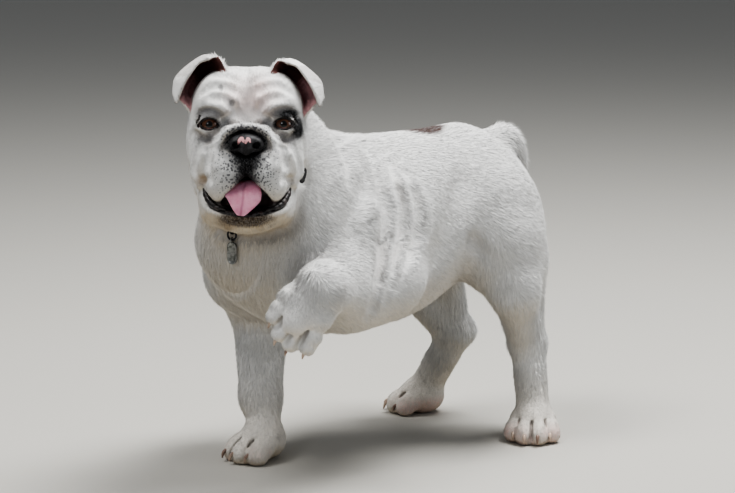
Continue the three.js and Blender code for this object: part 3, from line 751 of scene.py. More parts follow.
def tube(path: Array, radii: Array, sides: int, across: Array, wide: float = 1.0) -> tuple[Array, Array]:
    """A closed tube.

    Args:
        path: Its centre points.
        radii: Its radius at each.
        sides: How many sides it has.
        across: The direction that its sides are set out from.
        wide: How much wider it is in that direction.

    Returns:
        Points and triangles.
    """
    ahead = unit(np.gradient(path, axis=0))
    x = unit(across - ahead * (ahead @ across)[:, None])
    y = np.cross(ahead, x)
    a = np.arange(sides) / sides * 2 * math.pi
    rings = path[:, None] + radii[:, None, None] * (
        x[:, None] * np.cos(a)[None, :, None] * wide + y[:, None] * np.sin(a)[None, :, None])
    points = np.vstack([rings.reshape(-1, 3), path[:1], path[-1:]])
    return points, ring_faces(len(path), sides)


# The figure's forms


@dataclass(frozen=True)
class Paw:
    """A standing paw. Turn is the way its toes point, from -Y towards the animal's left."""

    at: Point
    turn: float
    spread: float
    outer: float
    inner: float
    rise: float = 10.5

    def on(self, across: float, forward: float, up: float) -> tuple[float, float, float]:
        """A point of the paw: sideways, forwards and up from its middle."""
        c, s = math.cos(math.radians(self.turn)), math.sin(math.radians(self.turn))
        return (self.at[0] + across * c + forward * s, self.at[1] + across * s - forward * c, up)

    def toes(self) -> list[tuple[float, float, float]]:
        """How far each toe is to the side and ahead, and its radius."""
        middle = self.spread * 0.36
        return [(-self.spread, 14, self.outer), (-middle, 24, self.inner),
                (middle, 24, self.inner), (self.spread, 14, self.outer)]

    def shape(self, clay: Clay, ankle: Point) -> None:
        """Adds the paw and its four toes.

        Args:
            clay: The flesh.
            ankle: The end of the leg.
        """
        clay.add(Bar(ankle, self.on(0, -8, 28), (19.5, 19)), 14)
        clay.add(Egg(self.on(0, -2, 19), (self.spread + 3, 27, 20), (0, 0, self.turn)), 12)
        for across, forward, r in self.toes():
            root = self.on(across * 0.75, forward - 18, self.rise + 12)
            clay.add(Bar(root, self.on(across, forward, self.rise), (r, r)), 3.5)
            knuckle = (r * 0.84, r * 0.95, r * 0.84)
            clay.add(Egg(self.on(across * 0.95, forward - 4, self.rise + 4.5), knuckle), 4)
        for a, b in zip(self.toes(), self.toes()[1:]):
            middle, reach = (a[0] + b[0]) / 2, (a[1] + b[1]) / 2
            line = [self.on(middle, reach + 10, 4), self.on(middle, reach + 6, 13),
                    self.on(middle * 0.92, reach - 3, 22), self.on(middle * 0.8, reach - 14, 29)]
            clay.press(line, 2.6, 3.8)


@dataclass(frozen=True)
class HindLeg:
    """A hind leg from the hip down."""

    hip: Point
    knee: Point
    ankle: Point
    shank: Point
    ham: Point
    calf: Point
    heel: Point
    hock: Point
    pastern: Point
    paw: Paw
    ham_size: Point = (36, 55, 66)

    def shape(self, clay: Clay) -> None:
        """Adds the thigh and shank to the flesh."""
        clay.add(Egg(self.ham, self.ham_size), 26)
        clay.add(Bar(self.hip, self.knee, (42, 25)), 22)
        clay.add(Bar(self.knee, self.ankle, self.shank), 18)
        clay.add(Bar(self.calf, self.heel, (26, 12)), 20)

    def foot(self, clay: Clay) -> None:
        """Adds the hock and the paw."""
        clay.add(Egg(self.hock, (12, 12, 13)), 10)
        self.paw.shape(clay, self.pastern)


@dataclass(frozen=True)
class ForeLeg:
    """A fore leg's upper arm and forearm."""

    shoulder: Point
    elbow: Point
    wrist: Point
    upper: Point
    lower: Point

    def shape(self, clay: Clay) -> None:
        """Adds both to the flesh."""
        clay.add(Bar(self.shoulder, self.elbow, self.upper), 24)
        clay.add(Bar(self.elbow, self.wrist, self.lower), 20)


@dataclass(frozen=True)
class RaisedPaw:
    """The lifted fore paw, which hangs from a bent wrist."""

    wrist: Point = (114, -158, 210)
    knuckles: Point = (106, -185, 181)
    toes: Line = (
        (94.5, -202, 185), (98.5, -199, 168.5), (103.5, -190, 158), (115, -178.5, 155.5))
    roots: Line = ((99, -188, 202), (107, -181, 197), (114.5, -176, 189), (122, -169, 182))
    thick: float = 11.8

    def shape(self, clay: Clay) -> None:
        """Adds the paw and its four toes."""
        clay.add(Bar(self.wrist, self.knuckles, (25, 20)), 14)
        clay.add(Bar(self.roots[0], self.roots[3], (13, 13)), 12)
        for root, tip in zip(self.roots, self.toes):
            clay.add(Bar(root, tip, (11, 10.6)), 2.5)
            middle = np.array(tip) * 0.65 + np.array(root) * 0.35
            clay.add(Egg(tuple(middle), (self.thick,) * 3), 2.5)
        for i in range(3):
            ends = np.array([*self.roots[i:i + 2], *self.toes[i:i + 2]], float)
            root, tip = ends[:2].mean(0), ends[2:].mean(0)
            out = unit(np.cross(tip - root, ends[3] - ends[2]))
            for side in (-1, 1):
                line = [root + (tip - root) * t + out * side * 7.5 for t in (-0.1, 0.4, 0.9, 1.4)]
                clay.press(line, 2.5, 5)


@dataclass(frozen=True)
class Fold:
    """A crease of loose skin, with the roll that it presses up beside it."""

    line: Line
    width: float
    depth: float
    roll: Point = (0.0, 0.0, 0.0)
    swell: float = 0.0

    def shape(self, clay: Clay) -> None:
        """Presses the crease in and raises its roll."""
        if self.swell:
            clay.press(np.array(self.line) + np.array(self.roll), self.width * 2, -self.swell)
        clay.press(self.line, self.width, self.depth)


@dataclass(frozen=True)
class Body:
    """Trunk, neck, legs and tail, and the folds of the skin over them."""

    chest: Egg = Egg((0, -82, 236), (86, 94, 98))
    masses: tuple[Egg, ...] = (
        Egg((-12, -130, 240), (79, 76, 68)),
        Egg((0, -5, 236), (86, 120, 98)),
        Egg((0, 82, 254), (73, 100, 76)),
        Egg((0, 130, 258), (70, 64, 74)),
    )
    spine: Bar = Bar((0, -60, 304), (0, 110, 307), (24, 29))
    shoulder: Egg = Egg((62, -100, 226), (38, 54, 78), (18, 0, 0))
    neck: Bar = Bar((0, -88, 270), (6, -158, 321), (76, 68))
    nape: Egg = Egg((10, -150, 350), (50, 46, 42))
    tail: Line = ((0, 164, 312), (0, 184, 318), (0, 195, 303), (0, 196, 284))
    blend: float = 30
    hind_left: HindLeg = HindLeg(
        (58, 130, 216), (80, 130, 169), (62, 162, 106), (24, 18), (52, 134, 228), (58, 162, 192),
        (56, 180, 106), (54, 184, 99), (60, 170, 98), Paw((84, 156), 44, 20, 11, 12))
    hind_right: HindLeg = HindLeg(
        (-58, 120, 216), (-80, 108, 166), (-60, 152, 102), (24, 17), (-52, 132, 230), (-56, 138, 184),
        (-52, 167, 104), (-50, 174, 98), (-54, 164, 96), Paw((-90, 139), -42, 20, 11, 12))
    fore_right: ForeLeg = ForeLeg((-72, -118, 195), (-90, -84, 160), (-56, -110, 62), (44, 34), (32, 23))
    fore_left: ForeLeg = ForeLeg((76, -120, 206), (79, -98, 195), (114, -158, 210), (38, 35), (32, 25))
    brisket: tuple[Egg, ...] = (Egg((64, -50, 200), (52, 54, 45), (0, 0, 14)),)
    right_paw: Paw = Paw((-38, -126), -8, 22, 12, 12.5)
    raised: RaisedPaw = RaisedPaw()
    folds: tuple[Fold, ...] = (
        Fold(((36, -45, 335), (60, -52, 318), (75, -55, 298), (85, -56, 277), (91, -62, 258),
              (97, -70, 241), (111, -85, 222), (119, -95, 202), (117, -99, 184)), 6, 6.5),
        Fold(((104, -78, 232), (115, -90, 212), (119, -97, 193), (112, -101, 176)), 5, 5),
        Fold(((54, -25, 315), (70, -28, 296), (81, -30, 274), (87, -38, 255), (98, -53, 237),
              (112, -71, 219), (117, -82, 194)), 5.6, 5),
        Fold(((60, -7, 307), (73, -7, 288), (83, -10, 265), (90, -23, 241), (109, -49, 224),
              (117, -66, 202)), 6.2, 5.4),
        Fold(((65, -75, 320), (79, -76, 301), (88, -74, 281), (92, -76, 262), (98, -83, 245)), 7, -4),
        Fold(((51, -34, 321), (72, -40, 298), (82, -42, 275), (90, -50, 254), (101, -64, 235),
              (114, -80, 215), (118, -89, 193)), 5.5, -3.2),
        Fold(((43, -16, 323), (65, -19, 302), (77, -19, 281), (85, -24, 256), (97, -41, 236),
              (113, -61, 217), (117, -74, 195)), 6, -3.4),
        Fold(((52, -4, 314), (70, -2, 293), (81, 3, 269), (87, -5, 239), (109, -36, 219)), 7, -2.6),
        Fold(((67, -61, 313), (85, -85, 292), (93, -102, 273), (98, -109, 256)), 13, 10),
        Fold(((66, 69, 294), (77, 50, 271), (83, 34, 244), (83, 21, 218)), 16, 9),
        Fold(((50, -90, 340), (60, -90, 329), (68, -92, 320), (78, -98, 308)), 7, 4, (5, -12, 2), 3),
        Fold(((104, 119, 264), (112, 121, 239), (115, 118, 214), (115, 112, 191)), 8, 7),
        Fold(((78, 69, 232), (84, 81, 218), (95, 91, 204)), 8, 6),
        Fold(((47, 138, 316), (60.5, 146, 303), (70.5, 147, 292)), 6, 2.5),
        Fold(((107, -132, 240), (129, -142, 229), (139, -144, 216), (139, -147, 201)), 6, 2),
        Fold(((-16, -214, 232), (14, -222, 226), (44, -206, 232)), 8, 2.5, (0, -2, 8), 2),
    )

    def shape(self, clay: Clay) -> None:
        """Adds all of the body, then its folds.

        Args:
            clay: The flesh.
        """
        clay.add(self.chest, 1)
        for mass in self.masses:
            clay.add(mass, self.blend)
        clay.add(self.spine, self.blend)
        x, y, z = self.shoulder.at
        for side in SIDES:
            clay.add(Egg((side * x, y, z), self.shoulder.size, self.shoulder.turn), 24)
        clay.add(self.neck, self.blend)
        clay.add(self.nape, self.blend)
        for leg in (self.hind_left, self.hind_right, self.fore_right, self.fore_left):
            leg.shape(clay)
        for mass in self.brisket:
            clay.add(mass, 22)
        clay.add(cord(self.tail, (19, 15)), 16)
        self.hind_left.foot(clay)
        self.hind_right.foot(clay)
        self.right_paw.shape(clay, self.fore_right.wrist)
        self.raised.shape(clay)
        for fold in self.folds:
            fold.shape(clay)


@dataclass(frozen=True)
class Ear:
    """A rose ear: a sheet whose rows run from its root to the folded edge."""

    rows: tuple[Line, ...] = (
        ((22, -18, 62), (34, 2, 64), (46, 12, 54), (55, 8, 40), (57, -10, 27)),
        ((28, -20, 75), (41, 2, 77), (57, 10, 68), (66, 4, 50), (64, -12, 34)),
        ((33, -16, 80), (46, -4, 81), (60, -2, 73), (73, -6, 60), (75, -10, 46)),
        ((40, -24, 78), (50, -22, 74), (58, -24, 64), (65, -22, 53), (72, -17, 36)),
    )
    lift: Point = (3, 0, 4)
    thickness: Point = (6.6, 4.8)
    ridges: tuple[tuple[int, int, int], ...] = ((12, 8, 50), (20, 20, 54), (28, 28, 54))

    def sheet(self, side: int, across: int = 56, along: int = 48) -> Array:
        """Points of the sheet in the head's frame.

        Args:
            side: 1 for the animal's left ear and -1 for its right.
            across: How many points each row has.
            along: How many rows there are.

        Returns:
            An array of along by across points.
        """
        rows = np.array(self.rows, float) * (side, 1, 1)
        if side < 0:
            rows = rows + np.array(self.lift)
        wide = np.array([curve(row, across) for row in rows])
        return np.array([curve(wide[:, i], along) for i in range(across)]).transpose(1, 0, 2)

    def shape(self, clay: Clay, head: Pose, side: int) -> None:
        """Adds the ear to the flesh.

        Args:
            clay: The flesh.
            head: The head's frame.
            side: 1 for the animal's left ear and -1 for its right.
        """
        sheet = self.sheet(side)
        half = np.linspace(self.thickness[0] / 2, self.thickness[1] / 2, sheet.shape[0])
        radii = np.repeat(half[:, None], sheet.shape[1], axis=1)
        clay.spread(head.out(sheet.reshape(-1, 3)), radii.ravel(), 4)
        inward = unit(np.cross(np.gradient(sheet, axis=1), np.gradient(sheet, axis=0))) * side
        for row, first, last in self.ridges:
            line = (sheet + inward * (half[row] + 0.5))[row, first:last]
            clay.spread(head.out(line), np.full(len(line), 1.5), 3)


@dataclass(frozen=True)
class Crease:
    """A crease of the face, drawn from the front as sideways and upward places."""

    line: Line
    width: float
    depth: float
    mirrored: bool = True


@dataclass(frozen=True)
class Head:
    """Skull, muzzle, flews, lids and jaw, in the head's own frame: the face looks along -Y.

    Globe is the radius of the eyeballs, and opening the half width of the lids' slit and
    how far it goes up and down.
    """

    pose: Pose = HEAD_POSE
    eye: Point = EYE
    globe: float = 12.6
    opening: Point = (9.4, 5.9, 5.3)
    ear: Ear = Ear()
    creases: tuple[Crease, ...] = (
        Crease(((30, -24), (29, -10), (25, 2), (14, 11.5), (0, 14.5)), 4.5, -5.0),
        Crease(((36, -38), (38, -22), (35.5, -5), (28, 8.5), (14.5, 18), (0, 20.5)), 3.1, 18.9),
        Crease(((22, -14), (22.5, -3), (17, 6), (8, 9.5), (0, 10.2)), 2.4, 3.5),
        Crease(((29, 7), (25, 17), (17, 24), (9, 25)), 3.4, 5.2),
        Crease(((40, -10), (44.5, -20), (44, -29)), 6.5, -4.0),
        Crease(((43, 0), (49, -12), (53, -25), (51.5, -34), (45, -38.5), (38, -35)), 3.2, 8.7),
        Crease(((58, -24), (57, -36), (51, -44), (46, -48)), 5, 5.5),
        Crease(((0, -11), (0, -22), (0, -34)), 2, 4.8, False),
        Crease(((0, 22), (1, 36), (0, 52), (-2, 70)), 5.5, 10.5, False),
        Crease(((7, 25), (14, 35), (22, 42), (34, 43)), 4, 8.7),
        Crease(((7, 46), (18, 53), (32, 55), (44, 49)), 4.5, 6.2),
        Crease(((9, 60), (20, 65), (32, 66)), 4, 5.0),
        Crease(((14, 29), (12, 38), (10, 46)), 5, -3.1),
        Crease(((50, 19), (46, 28), (36.5, 31), (27, 27.5), (22, 18)), 2.4, 5.0),
        Crease(((49, 9), (42, 2.5), (34, 1), (26, 5)), 2.4, 4.8),
        Crease(((23, 10), (28, -1), (37, -8), (45, -6)), 3, 3.5),
        Crease(((53, 10), (57, -2), (58, -14)), 4, 3.1),
        Crease(((28, -78), (14, -84), (0, -85.5)), 3, 3.8),
        Crease(((40, -80), (22, -91), (0, -95)), 4, 3.1),
    )

    def shape(self, clay: Clay) -> None:
        """Adds the head to the body's flesh.

        Args:
            clay: The body.
        """
        upper = self.upper(clay)
        lower = self.lower(clay)
        for side in SIDES:
            self.ear.shape(upper, self.pose, side)
        back = clay.places(clay.whole(), self.pose)[1]
        clay.merge(upper, 4 + 12 * rise(-25, 30, back))
        clay.merge(lower, 2.5 + 6 * rise(-25, 20, back))
        for crease in self.creases:
            for side in SIDES if crease.mirrored else (1,):
                line = self.trace(clay, np.array(crease.line) * (side, 1))
                clay.press(line, crease.width, crease.depth)
        for side in SIDES:
            self.open_lids(clay, self.eye_on(side))

    def eye_on(self, side: int) -> Array:
        """The middle of the left or right eyeball."""
        return np.array(self.eye) * (side, 1, 1)

    def trace(self, clay: Clay, line: Array) -> Array:
        """Where a line that is drawn from the front meets the flesh."""
        fine = curve([(x, -95.0, z) for x, z in line], 4 * len(line))
        way = self.pose.way((0.0, 1.0, 0.0))
        return clay.meet(self.pose.out(fine), way)

    def upper(self, clay: Clay) -> Clay:
        """The head above the mouth, in a block like the given one."""
        layers = [
            (Egg((0, 10, 26), (54, 60, 48)), 1, False),
            (Egg((22.5, -8, 42), (29, 33, 29)), 18, False),
            (Egg((35, 4, 0), (24, 42, 44)), 18, False),
            (Egg((40, -10, -8), (18, 25, 32)), 12, False),
            (Egg((28, -32, 35), (18, 14, 11), (0, -8, 8)), 12, False),
            (Egg((0, -60, 34), (8, 18, 24)), 20, True),
            (Egg((0, -38, -13), (35, 29, 26)), 10, False),
            (Egg((20.5, -44, -33), (20.5, 26, 28), (0, 5, 0)), 8, False),
            (Egg((25, -44, -45), (13, 20, 16), (0, 8, 0)), 6, False),
            (cord(((33, -36, 6), (42, -34, -10), (49, -26, -28), (45, -27, -40)), (5, 9)), 7, False),
            (cord(((33, -40, -28), (32, -48, -7), (20, -55, 8), (0, -57, 13.5)), (6, 8)), 7, False),
            (Egg((0, -60, -1), (20, 11, 13)), 5, True),
            (Wedge(-33, -70, 41, -90, -30), 6, True),
            (Egg((0, -40, -54), (24, 30, 16)), 4, True),
            (Egg(self.eye, (15.2, 14.4, 14.6)), 6, False),
        ]
        return clay.like().model(layers, self.pose)

    def lower(self, clay: Clay) -> Clay:
        """The lower jaw, in a block like the given one."""
        rim = cord(((42, -16, -50), (38, -36, -64), (22, -54, -72), (0, -59, -74)), (4, 5))
        layers = [
            (Egg((0, -24, -70), (42, 34, 20)), 1, False),
            (Egg((33, -6, -46), (18, 34, 36)), 14, False),
            (Egg((0, -46, -78), (27, 15, 12)), 10, False),
            (rim, 4, False),
            (Egg((0, -36, -58), (27, 22, 11)), 4, True),
        ]
        return clay.like().model(layers, self.pose)

    def open_lids(self, clay: Clay, at: Array) -> None:
        """Cuts one almond opening, rolls its lids and clears the eyeball behind it.

        Args:
            clay: The flesh.
            at: The eyeball's centre in the head's frame.
        """
        reach = self.globe + 6
        cells = clay.around(np.array([at - (reach, reach + 8, reach), at + reach]), self.pose)
        if cells is None:
            return
        x, y, z = (v - np.float32(c) for v, c in zip(clay.places(cells, self.pose), at))
        wide, up, down = self.opening
        arcs = [(s, h, (wide * wide + h * h) / (2 * h)) for s, h in ((1, up), (-1, down))]
        slit = np.maximum(*(np.hypot(x, z - s * (h - r)) - r for s, h, r in arcs))
        out = np.sqrt(x * x + y * y + z * z) - self.globe
        rim = np.where(y < 0, np.hypot(slit - 0.6, out - 1.2) - 1.5, 9)
        here = soft_min(clay.d[cells], (out - 1.9).astype(np.float32), 2.5)
        here = soft_min(here, rim.astype(np.float32), 1.8)
        here = -soft_min(-here, np.maximum(slit, y).astype(np.float32), 0.7)
        clay.d[cells] = np.maximum(here, 0.15 - out).astype(np.float32)


# Colours of the coat


@dataclass(frozen=True)
class Patch:
    """A coloured area: soft-edged, given by its middle and half sizes."""

    at: Point
    size: Point
    edge: float = 0.35
    turn: Point = (0.0, 0.0, 0.0)

    def share(self, points: Array) -> Array:
        """How much of it is at each point, from 0 to 1."""
        local = Pose(self.at, self.turn).into(points) / np.asarray(self.size)
        return 1 - rise(1 - self.edge, 1 + self.edge, lengths(local))


@dataclass(frozen=True)
class Markings:
    """Where the white coat is dark, speckled, bare or stained, and where shade and warm bounce light are
    painted on it. Head places are in the head's frame.
    """

    head: Head
    eye_patch: tuple[Patch, ...] = (
        Patch((40, -30, 26.5), (14, 26, 5.5), 0.5, (0, -5, 0)),
        Patch((48.8, -22, 14), (8, 26, 15), 0.42, (0, -4, 0)),
    )
    dark: tuple[Patch, ...] = (
        Patch((0, -60, -1), (18.5, 22, 11.5), 0.3),
        Patch((0, -60, -13), (15, 26, 12), 0.6),
        Patch((0, -62, -26), (9, 26, 14), 0.6),
        Patch((0, -62, -37), (15, 26, 7), 0.9),
    )
    specks: tuple[tuple[Patch, float], ...] = (
        (Patch((0, -60, -20), (24, 30, 28), 0.8), 1.0),
        (Patch((0, -56, -28), (36, 30, 38), 0.4), 0.72),
        (Patch((0, -52, 13), (28, 20, 12), 0.6), 0.75),
        (Patch((0, -60, 2), (24, 24, 16), 0.3), 1.0),
    )
    # Grey ticking on the muzzle and brows, and painted crease shade: some patches lie along the nose roll's
    # crease and two on forehead wrinkles.
    grizzle_and_crease_shade: tuple[Patch, ...] = (
        Patch((-36, -36, 27), (15, 24, 8), 0.6),
        Patch((36, -36, 29), (16, 24, 9), 0.6),
        Patch((-21, -42, 17), (7, 20, 9), 0.6),
        Patch((21, -42, 17), (7, 20, 9), 0.6),
        Patch((36, -30, 3), (16, 24, 7), 0.6),
        Patch((-36, -30, 3), (16, 24, 6), 0.6),
        Patch((-14, -48, 38), (3.5, 20, 4), 0.5, (0, 30, 0)),
        Patch((-25, -40, 53), (3, 20, 4), 0.5, (0, -20, 0)),
    )
    blush: tuple[Patch, ...] = (
        Patch((4, -45, 46), (22, 30, 20), 0.8),
        Patch((13, -45, 40), (12, 26, 12), 0.7),
    )
    chin: tuple[Patch, ...] = (Patch((0, -60, -76), (34, 30, 8), 0.4),)
    # Brown stains at the mouth's corners, and a warm patch on the chin that is partly painted bounce light.
    stain_and_bounce: tuple[Patch, ...] = (
        Patch((-43, -30, -37), (7, 18, 5), 0.6, (0, -20, 0)),
        Patch((43, -26, -36), (6, 18, 5), 0.6, (0, 20, 0)),
        Patch((0, -50, -90), (40, 40, 12), 0.6),
    )
    saddle: Patch = Patch((-12, 67, 338), (28, 25, 16), 0.2, (0, 0, -12))
    # Patches of painted warm bounce light and shade on the chin, the throat and under the chin.
    chin_fur: Patch = Patch((0, -52, -86), (50, 40, 17), 0.5)
    throat: Patch = Patch((20, -215, 245), (70, 50, 60), 0.8)
    under_chin: Patch = Patch((20, -205, 268), (70, 60, 22), 0.7)
    ear_reach: float = 6

    def on_head(self, patches: Iterable[Patch], local: Array) -> Array:
        """The strongest share of several patches."""
        return np.max([patch.share(local) for patch in patches], axis=0)

    def at(self, points: Array, normals: Array) -> dict[str, Array]:
        """All marks at points on the skin.

        Args:
            points: Points in the sculptor's frame.
            normals: Outward directions there.

        Returns:
            One array for each mark, by its name.
        """
        local = self.head.pose.into(points)
        facing = normals @ turned(self.head.pose.turn)
        front = rise(20, -6, local[:, 1]) * rise(-105, -95, local[:, 2])
        face = front * rise(0.3, -0.1, facing[:, 1])
        marks = {
            "dark": np.maximum(self.on_head(self.eye_patch, local), self.on_head(self.dark, local)) * face,
            "speck": np.max([patch.share(local) * most for patch, most in self.specks], axis=0) * face,
            "grizzle_and_crease_shade": self.on_head(self.grizzle_and_crease_shade, local) * face,
            "blush": self.on_head(self.blush, local) * front,
            "chin": self.on_head(self.chin, local) * face,
            "stain_and_bounce": self.on_head(self.stain_and_bounce, local) * front,
            "saddle": self.saddle.share(points),
        }
        marks["lip"] = self.lips(local, facing)
        marks["lid"] = self.lids(local)
        marks["ear"], marks["flush"] = self.ears(local)
        marks["cream_and_bounce_shade"] = self.shade(points, normals)
        marks["toe"] = self.feet(points)
        return marks

    def lips(self, local: Array, facing: Array) -> Array:
        """The black rims of the mouth and its dark inside."""
        wide = np.stack([np.abs(local[:, 0]), local[:, 1], local[:, 2]], axis=1)
        rim = curve([(42, -18, -44), (38, -36, -57), (24, -53, -66), (12, -58, -69), (0, -60, -70)], 30)
        gap = np.min(np.linalg.norm(wide[:, None] - rim[None], axis=2), axis=1)
        near = (1 - rise(4.2, 6, gap)) * rise(-78, -74, local[:, 2])
        hollow = 1 - rise(0.9, 1.1, lengths((local - (0, -38, -58)) / (31, 30, 16)))
        flew = rise(0.2, -0.2, facing[:, 1]) * rise(-65, -61, local[:, 2])
        return np.maximum(near * (0.3 + 0.7 * rise(-0.6, 0.2, facing[:, 2])), hollow) * (1 - flew)

    def lids(self, local: Array) -> Array:
        """The dark rims of the eyes."""
        total = np.zeros(len(local))
        for side in SIDES:
            off = local - self.head.eye_on(side)
            r = lengths(off)
            wide, up, down = self.head.opening
            arch = np.where(off[:, 2] > 0, up, down)
            ring = np.hypot(off[:, 0] / wide, off[:, 2] / arch)
            near = (1 - rise(1.04, 1.2, ring)) * (off[:, 1] < 0) * (1 - rise(15.5, 18, r))
            total = np.maximum(total, near)
        return total

    def ears(self, local: Array) -> tuple[Array, Array]:
        """The thinly haired insides of the ears, and how pink they are.

        Args:
            local: Points in the head's frame.

        Returns:
            The share of bare skin and the share of pink in it.
        """
        across, along = 20, 16
        total, flush = np.zeros(len(local)), np.zeros(len(local))
        for side in SIDES:
            sheet = self.head.ear.sheet(side, across, along)
            near = np.nonzero((local[:, 2] > 15) & (local[:, 0] * side > 18))[0]
            p = local[near]
            flat = sheet.reshape(-1, 3)
            out = unit(np.cross(np.gradient(sheet, axis=1), np.gradient(sheet, axis=0))).reshape(-1, 3)
            gap = ((p[:, None] - flat[None]) ** 2).sum(2)
            k = gap.argmin(1)
            inside = np.einsum("ij,ij->i", p - flat[k], out[k]) * side > 0.2
            hollow = inside & (gap[np.arange(len(p)), k] < self.ear_reach**2)
            row, place = (k // across) / (along - 1), (k % across) / (across - 1)
            total[near] = np.maximum(total[near], hollow * rise(1.02, 0.9, row))
            pinker = rise(0.35, 0.75, place) * rise(0.95, 0.6, row)
            flush[near] = np.maximum(flush[near], pinker)
        return total, flush

    def shade(self, points: Array, normals: Array) -> Array:
        """Cream on the throat, chest and lower legs, much of it painted warm bounce light and shade: on the
        chin and throat, under the chin, low down and on every surface that faces down.
        """
        chin = self.chin_fur.share(self.head.pose.into(points)) * 0.8
        throat = self.throat.share(points)
        under = self.under_chin.share(points) * rise(0.3, -0.5, normals[:, 2])
        # Painted shade: low places and surfaces that face down turn creamier.
        low = rise(110, 20, points[:, 2]) * 0.4
        belly = rise(0.1, -0.8, normals[:, 2]) * 0.6
        return np.clip(throat * 0.35 + under + low + belly + chin, 0, 1)

    def feet(self, points: Array) -> Array:
        """Pink skin that shows between the toes."""
        return rise(26, 12, points[:, 2])


@dataclass(frozen=True)
class CoatFinish:
    """Short white coat over pink skin, with painted shade in folds and painted warm bounce light and shade
    underneath.
    """

    white: Point = (0.83, 0.83, 0.82)
    # cream is the colour of the cream tint and of the painted warm bounce light and shade.
    cream: Point = (0.66, 0.54, 0.37)
    shadow: Point = (0.50, 0.51, 0.53)
    # crease is the colour of the painted shade in folds and hollows.
    crease: Point = (0.27, 0.24, 0.22)
    black: Point = (0.014, 0.014, 0.016)
    grey: Point = (0.16, 0.16, 0.17)
    pink: Point = (0.78, 0.52, 0.48)
    # stain is the colour of the mouth's stains and of the painted warm bounce light on the chin.
    stain_and_bounce: Point = (0.30, 0.19, 0.09)
    chin: Point = (0.085, 0.062, 0.045)
    brown: Point = (0.065, 0.032, 0.024)
    ear: Point = (0.11, 0.045, 0.04)
    ear_pink: Point = (0.62, 0.36, 0.37)
    lip: Point = (0.014, 0.012, 0.013)
    lid: Point = (0.03, 0.02, 0.018)

    def material(self, hair: bool) -> Material:
        """The finish, for the skin or for the hair over it.

        Args:
            hair: Whether it is for the tufts.

        Returns:
            The material.
        """
        paint = Paint("coat_hair" if hair else "coat_skin")
        cloud = paint.noise(16, 3, 0.6)
        fine = paint.noise(520, 2, 0.7)
        speck, grizzle_and_crease_shade, chin = paint.mark("speck"), paint.mark("grizzle_and_crease_shade"), paint.mark("chin")
        saddle, dark = paint.mark("saddle"), paint.mark("dark")
        # Cream tint and painted warm bounce light and shade on the chin and throat, low down and on surfaces
        # that face down.
        base = paint.mix((paint.mark("cream_and_bounce_shade") * 0.8 + (cloud - 0.5) * 0.2).kept(), self.white, self.cream)
        base = paint.mix((cloud.rise(0.45, 0.8) * 0.25).kept(), base, self.shadow)
        # Painted shade: the colour darkens towards crease where the skin lies deep in a fold or hollow.
        base = paint.mix((paint.mark("fold") * 0.7).kept(), base, self.crease)
        base = paint.mix((paint.mark("blush") * (0.3 + (cloud - 0.5) * 0.8)).kept(), base, self.pink)
        toes = paint.mark("toe") * (0.25 if hair else 0.6) * cloud.rise(0.4, 0.62)
        base = paint.mix(toes.kept(), base, self.pink)
        # Stains at the mouth's corners, and partly painted warm bounce light on the chin.
        base = paint.mix((paint.mark("stain_and_bounce") * cloud.rise(0.3, 0.6) * 0.8).kept(), base, self.stain_and_bounce)
        dots = (speck * 0.62 - paint.cells(390) + (fine - 0.5) * 0.6).rise(-0.08, 0.2)
        base = paint.mix((dots * 0.75 + speck * speck * speck * 0.55).kept(), base, self.grey)
        # Grey ticking, partly painted shade in the creases of the nose roll and the forehead.
        ticks = (fine + grizzle_and_crease_shade * 0.5).rise(0.62, 0.95) * grizzle_and_crease_shade
        base = paint.mix((ticks * 0.6 + grizzle_and_crease_shade * 0.06).kept(), base, self.grey)
        base = paint.mix(((fine - 0.5) * 1.4 + chin * 0.9 + (cloud - 0.5)).kept() * chin, base, self.chin)
        base = paint.mix((saddle * 1.3 + (fine - 0.5) * saddle).kept(), base, self.brown)
        base = paint.mix((dark * dark * 1.1 + (fine - 0.5) * dark * 0.8).kept(), base, self.black)
        pinker = (paint.mark("flush") * 1.3 + (paint.noise(60, 3, 0.7) - 0.5) * 1.6 - 0.35).kept()
        base = paint.mix(paint.mark("ear"), base, paint.mix(pinker, self.ear, self.ear_pink))
        base = paint.mix(paint.mark("lid"), base, self.lid)
        base = paint.mix(paint.mark("lip"), base, self.lip)
        if hair:
            base = paint.mix((paint.mark("tone") * 0.4).kept(), base, self.shadow)
            return paint.finish(base, 0.8, Specular_IOR_Level=0.25)
        wet = paint.mark("lip").most(paint.mark("lid"))
        grain = paint.noise(900, 2, 0.6) * (1 - paint.mark("lip")) + paint.noise(260, 3, 0.6) * 1.4
        paint.bump(grain, 0.0009, 0.8)
        return paint.finish(base, 0.8 - wet * 0.5, Specular_IOR_Level=0.3)


